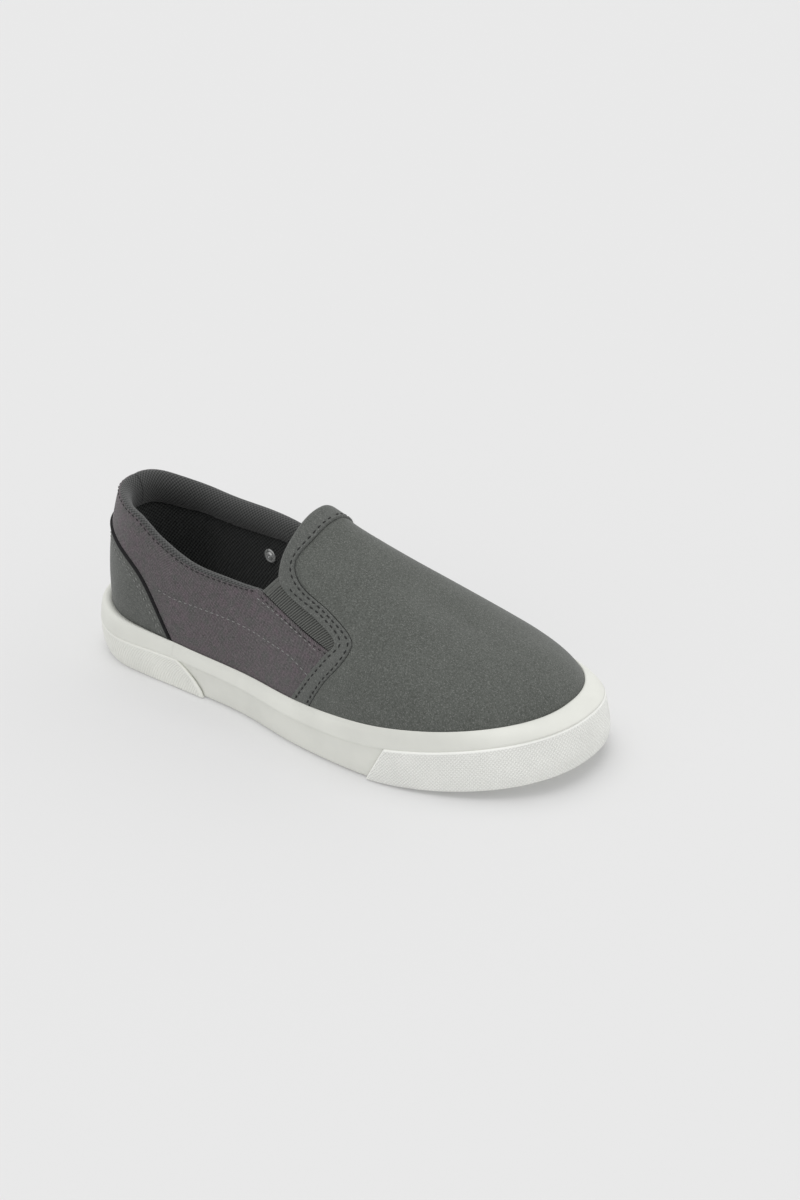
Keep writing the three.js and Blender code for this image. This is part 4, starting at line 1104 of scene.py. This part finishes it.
grain = noise(tree, place.outputs["Object"], 900, 2)
metal = ramp(tree, grain, [(0.3, (0.78, 0.79, 0.78)), (0.7, (0.93, 0.94, 0.93))])
tree.links.new(metal, shader.inputs["Base Color"])
finish_piece(grommet, bright_metal, "eyelet", "vent_eyelet")

# Every seam is sewn with a lockstitch. Dark thread is used on the binding, collar, gores and flap, and
# paler threads on the canvas and the counter.
STITCH_PITCH, STITCH_LENGTH, THREAD, FINE_THREAD = 3.1, 1.9, 0.7, 0.45
template = bmesh.new()
bmesh.ops.create_uvsphere(template, u_segments=6, v_segments=5, radius=1.0)
stitch_mesh = bpy.data.meshes.new("one_stitch")
template.to_mesh(stitch_mesh)
template.free()


def stitch_row(bm, side, station, rise, offset, length=STITCH_LENGTH, thread=THREAD):
    """Stitches along spots on the wall, each a short flattened rod of thread at an offset over it."""
    points = skin(side, station, rise, offset)
    normal = skin(side, station, rise, 1.0) - skin(side, station, rise, 0.0)
    run = lengths(points, 0)

    def at(row, distance):
        return Vector([np.interp(distance, run, row[:, k]) for k in range(3)])

    count = int(run[-1] / STITCH_PITCH)
    for k in range(count):
        middle = (k + 0.5) * run[-1] / count
        up = at(normal, middle).normalized()
        tangent = (at(points, middle + 0.5) - at(points, middle - 0.5)).normalized()
        across = up.cross(tangent).normalized()
        turn = Matrix((across, up, tangent)).transposed().to_4x4()
        size = Matrix.Diagonal((thread * 0.0005, thread * 0.0004, length * 0.0005, 1))
        before = len(bm.verts)
        bm.from_mesh(stitch_mesh)
        bm.verts.ensure_lookup_table()
        place = Matrix.Translation(Vector(in_frame(at(points, middle)))) @ turn @ size
        bmesh.ops.transform(bm, matrix=place, verts=bm.verts[before:])


def thread_finish(name, dark, light):
    made, tree, shader, place = material(name, 0.75)
    grain = noise(tree, place.outputs["Object"], 2500, 2)
    tree.links.new(ramp(tree, grain, [(0.3, dark), (0.7, light)]), shader.inputs["Base Color"])
    return made


dark_thread = thread_finish("dark_thread", (0.006, 0.006, 0.006), (0.016, 0.016, 0.016))
pale_thread = thread_finish("pale_thread", (0.19, 0.19, 0.187), (0.30, 0.30, 0.295))
grey_thread = thread_finish("grey_thread", (0.20, 0.205, 0.195), (0.30, 0.305, 0.295))


def binding_line(side_sign, last, edge, other, gap, count=240):
    """Spots along the binding at a gap in millimetres from one of its edges, front or rear."""
    run = np.linspace(0.03, last, count)
    side = np.full(count, side_sign)
    near, far = binding_edge(edge, run), binding_edge(other, run)
    w = gap / np.linalg.norm(skin(side, *near, 0.0) - skin(side, *far, 0.0), axis=-1)
    return side, mix(near[0], far[0], w), mix(near[1], far[1], w)


OVER_BINDING, OVER_CANVAS = SEAM_GAP + PANEL + 0.5, SEAM_GAP + PANEL + 0.05
dark = bmesh.new()
for sign in (-1.0, 1.0):
    stitch_row(dark, *binding_line(sign, 0.985, "front", "rear", ROW_IN), OVER_BINDING)
    stitch_row(dark, *binding_line(sign, 0.60, "rear", "front", REAR_ROW_IN), OVER_BINDING)
    side = np.full(200, sign)
    along = np.linspace(0.0, 0.435, 200)
    level = edge_height(side, along) + canvas_over(along) - 1.0
    stitch_row(dark, side, station_at(along), rise_at(side, station_at(along), level), 1.45, 2.0, 0.6)
    side = np.full(120, sign)
    station, rise = quarter_top(side, mix(QUARTER_CORNER, 1, np.linspace(0.02, 0.97, 120)))
    stitch_row(dark, side, station - 0.002, rise - 0.018, OVER_CANVAS, thread=FINE_THREAD)
run, climb = np.linspace(0.05, 0.95, 60), np.linspace(0.09, 0.91, 40)
u = np.concatenate([run, np.full(40, 0.95), run[::-1], np.full(40, 0.05)])
v = np.concatenate([np.full(60, 0.09), climb, np.full(60, 0.91), climb[::-1]])
stitch_row(dark, *flap_spot(u, v), FLAP_HEIGHT + FLAP_THICKNESS)
finish_piece(new_piece("dark_stitches", dark), dark_thread, "lining")

pale = bmesh.new()
LOW_SEAM = {
    "along": [0.214, 0.253, 0.297, 0.340, 0.387, 0.436, 0.488, 0.542, 0.590],
    "rise": [0.180, 0.173, 0.182, 0.192, 0.203, 0.212, 0.217, 0.211, 0.169],
}
GORE_SEAM = {"along": [0.440, 0.478, 0.521, 0.564, 0.605], "rise": [0.353, 0.350, 0.340, 0.323, 0.302]}
for sign in (-1.0, 1.0):
    for seam in (LOW_SEAM, GORE_SEAM):
        along = np.linspace(seam["along"][0], seam["along"][-1] - 0.004, 200)
        rise = read(seam, "rise", along)
        stitch_row(pale, np.full(200, sign), station_at(along), rise, OVER_CANVAS, thread=FINE_THREAD)
finish_piece(new_piece("pale_stitches", pale), pale_thread, "canvas")

grey = bmesh.new()
for sign in (-1.0, 1.0):
    for gap in (3.2, 5.0):
        side = np.full(200, sign)
        station, rise = seam_spot(side, np.linspace(0.03, 0.93, 200), -gap)
        stitch_row(grey, side, station, rise, SEAM_GAP + PANEL + 0.1, 1.7, 0.55)
finish_piece(new_piece("grey_stitches", grey), grey_thread, "suede")

# The shoe stands on a plain pale floor in soft, even studio light. It is seen from the front of its outer
# side, from a little above.
bm = bmesh.new()
bmesh.ops.create_grid(bm, x_segments=1, y_segments=1, size=12)
floor = new_piece("floor", bm)
floor_paint, tree, shader, place = material("floor_paint", 0.9, Specular_IOR_Level=0.1)
shader.inputs["Base Color"].default_value = (0.6, 0.6, 0.6, 1)
shader.inputs["Emission Color"].default_value = (1, 1, 1, 1)
shader.inputs["Emission Strength"].default_value = 0.185
floor.data.materials.append(floor_paint)

world = bpy.data.worlds.new("studio")
world.use_nodes = True
tree = world.node_tree
x, y, z = parts(tree, new_node(tree, "ShaderNodeTexCoord").outputs["Generated"])
level = maths(tree, "ADD", maths(tree, "MULTIPLY", x, 0.06), 0.78)
tree.links.new(level, tree.nodes["Background"].inputs[1])
tree.nodes["Background"].inputs[0].default_value = (1, 1, 1, 1)
bpy.context.scene.world = world
bpy.context.scene.view_settings.view_transform = "Standard"

sun_data = bpy.data.lights.new("window", "SUN")
sun_data.energy = 0.85
sun_data.angle = 0.9
sun = bpy.data.objects.new("window", sun_data)
bpy.context.scene.collection.objects.link(sun)
sun.rotation_euler = Vector((-0.12, 0.1, 1.0)).to_track_quat("Z", "Y").to_euler()

AZIMUTH, ELEVATION, ROLL = np.radians([39.88, 27.0, -3.02])
FOCAL_PIXELS, PHOTO_PIXELS, SENSOR = 1733.05, 1200, 36
CAMERA_PLACE = (0.442497, -0.483179, 0.375517)
level_back = np.array([np.sin(AZIMUTH), -np.cos(AZIMUTH), 0])
back = level_back * np.cos(ELEVATION) + np.array([0, 0, np.sin(ELEVATION)])
right = np.array([np.cos(AZIMUTH), np.sin(AZIMUTH), 0])
upward = np.cross(back, right)
view_right = np.cos(ROLL) * right + np.sin(ROLL) * upward
view_up = -np.sin(ROLL) * right + np.cos(ROLL) * upward
camera_data = bpy.data.cameras.new("camera")
camera_data.lens = FOCAL_PIXELS * SENSOR / PHOTO_PIXELS
camera = bpy.data.objects.new("camera", camera_data)
bpy.context.scene.collection.objects.link(camera)
camera_turn = Matrix((view_right, view_up, back)).transposed().to_4x4()
camera.matrix_world = Matrix.Translation(CAMERA_PLACE) @ camera_turn
bpy.context.scene.camera = camera
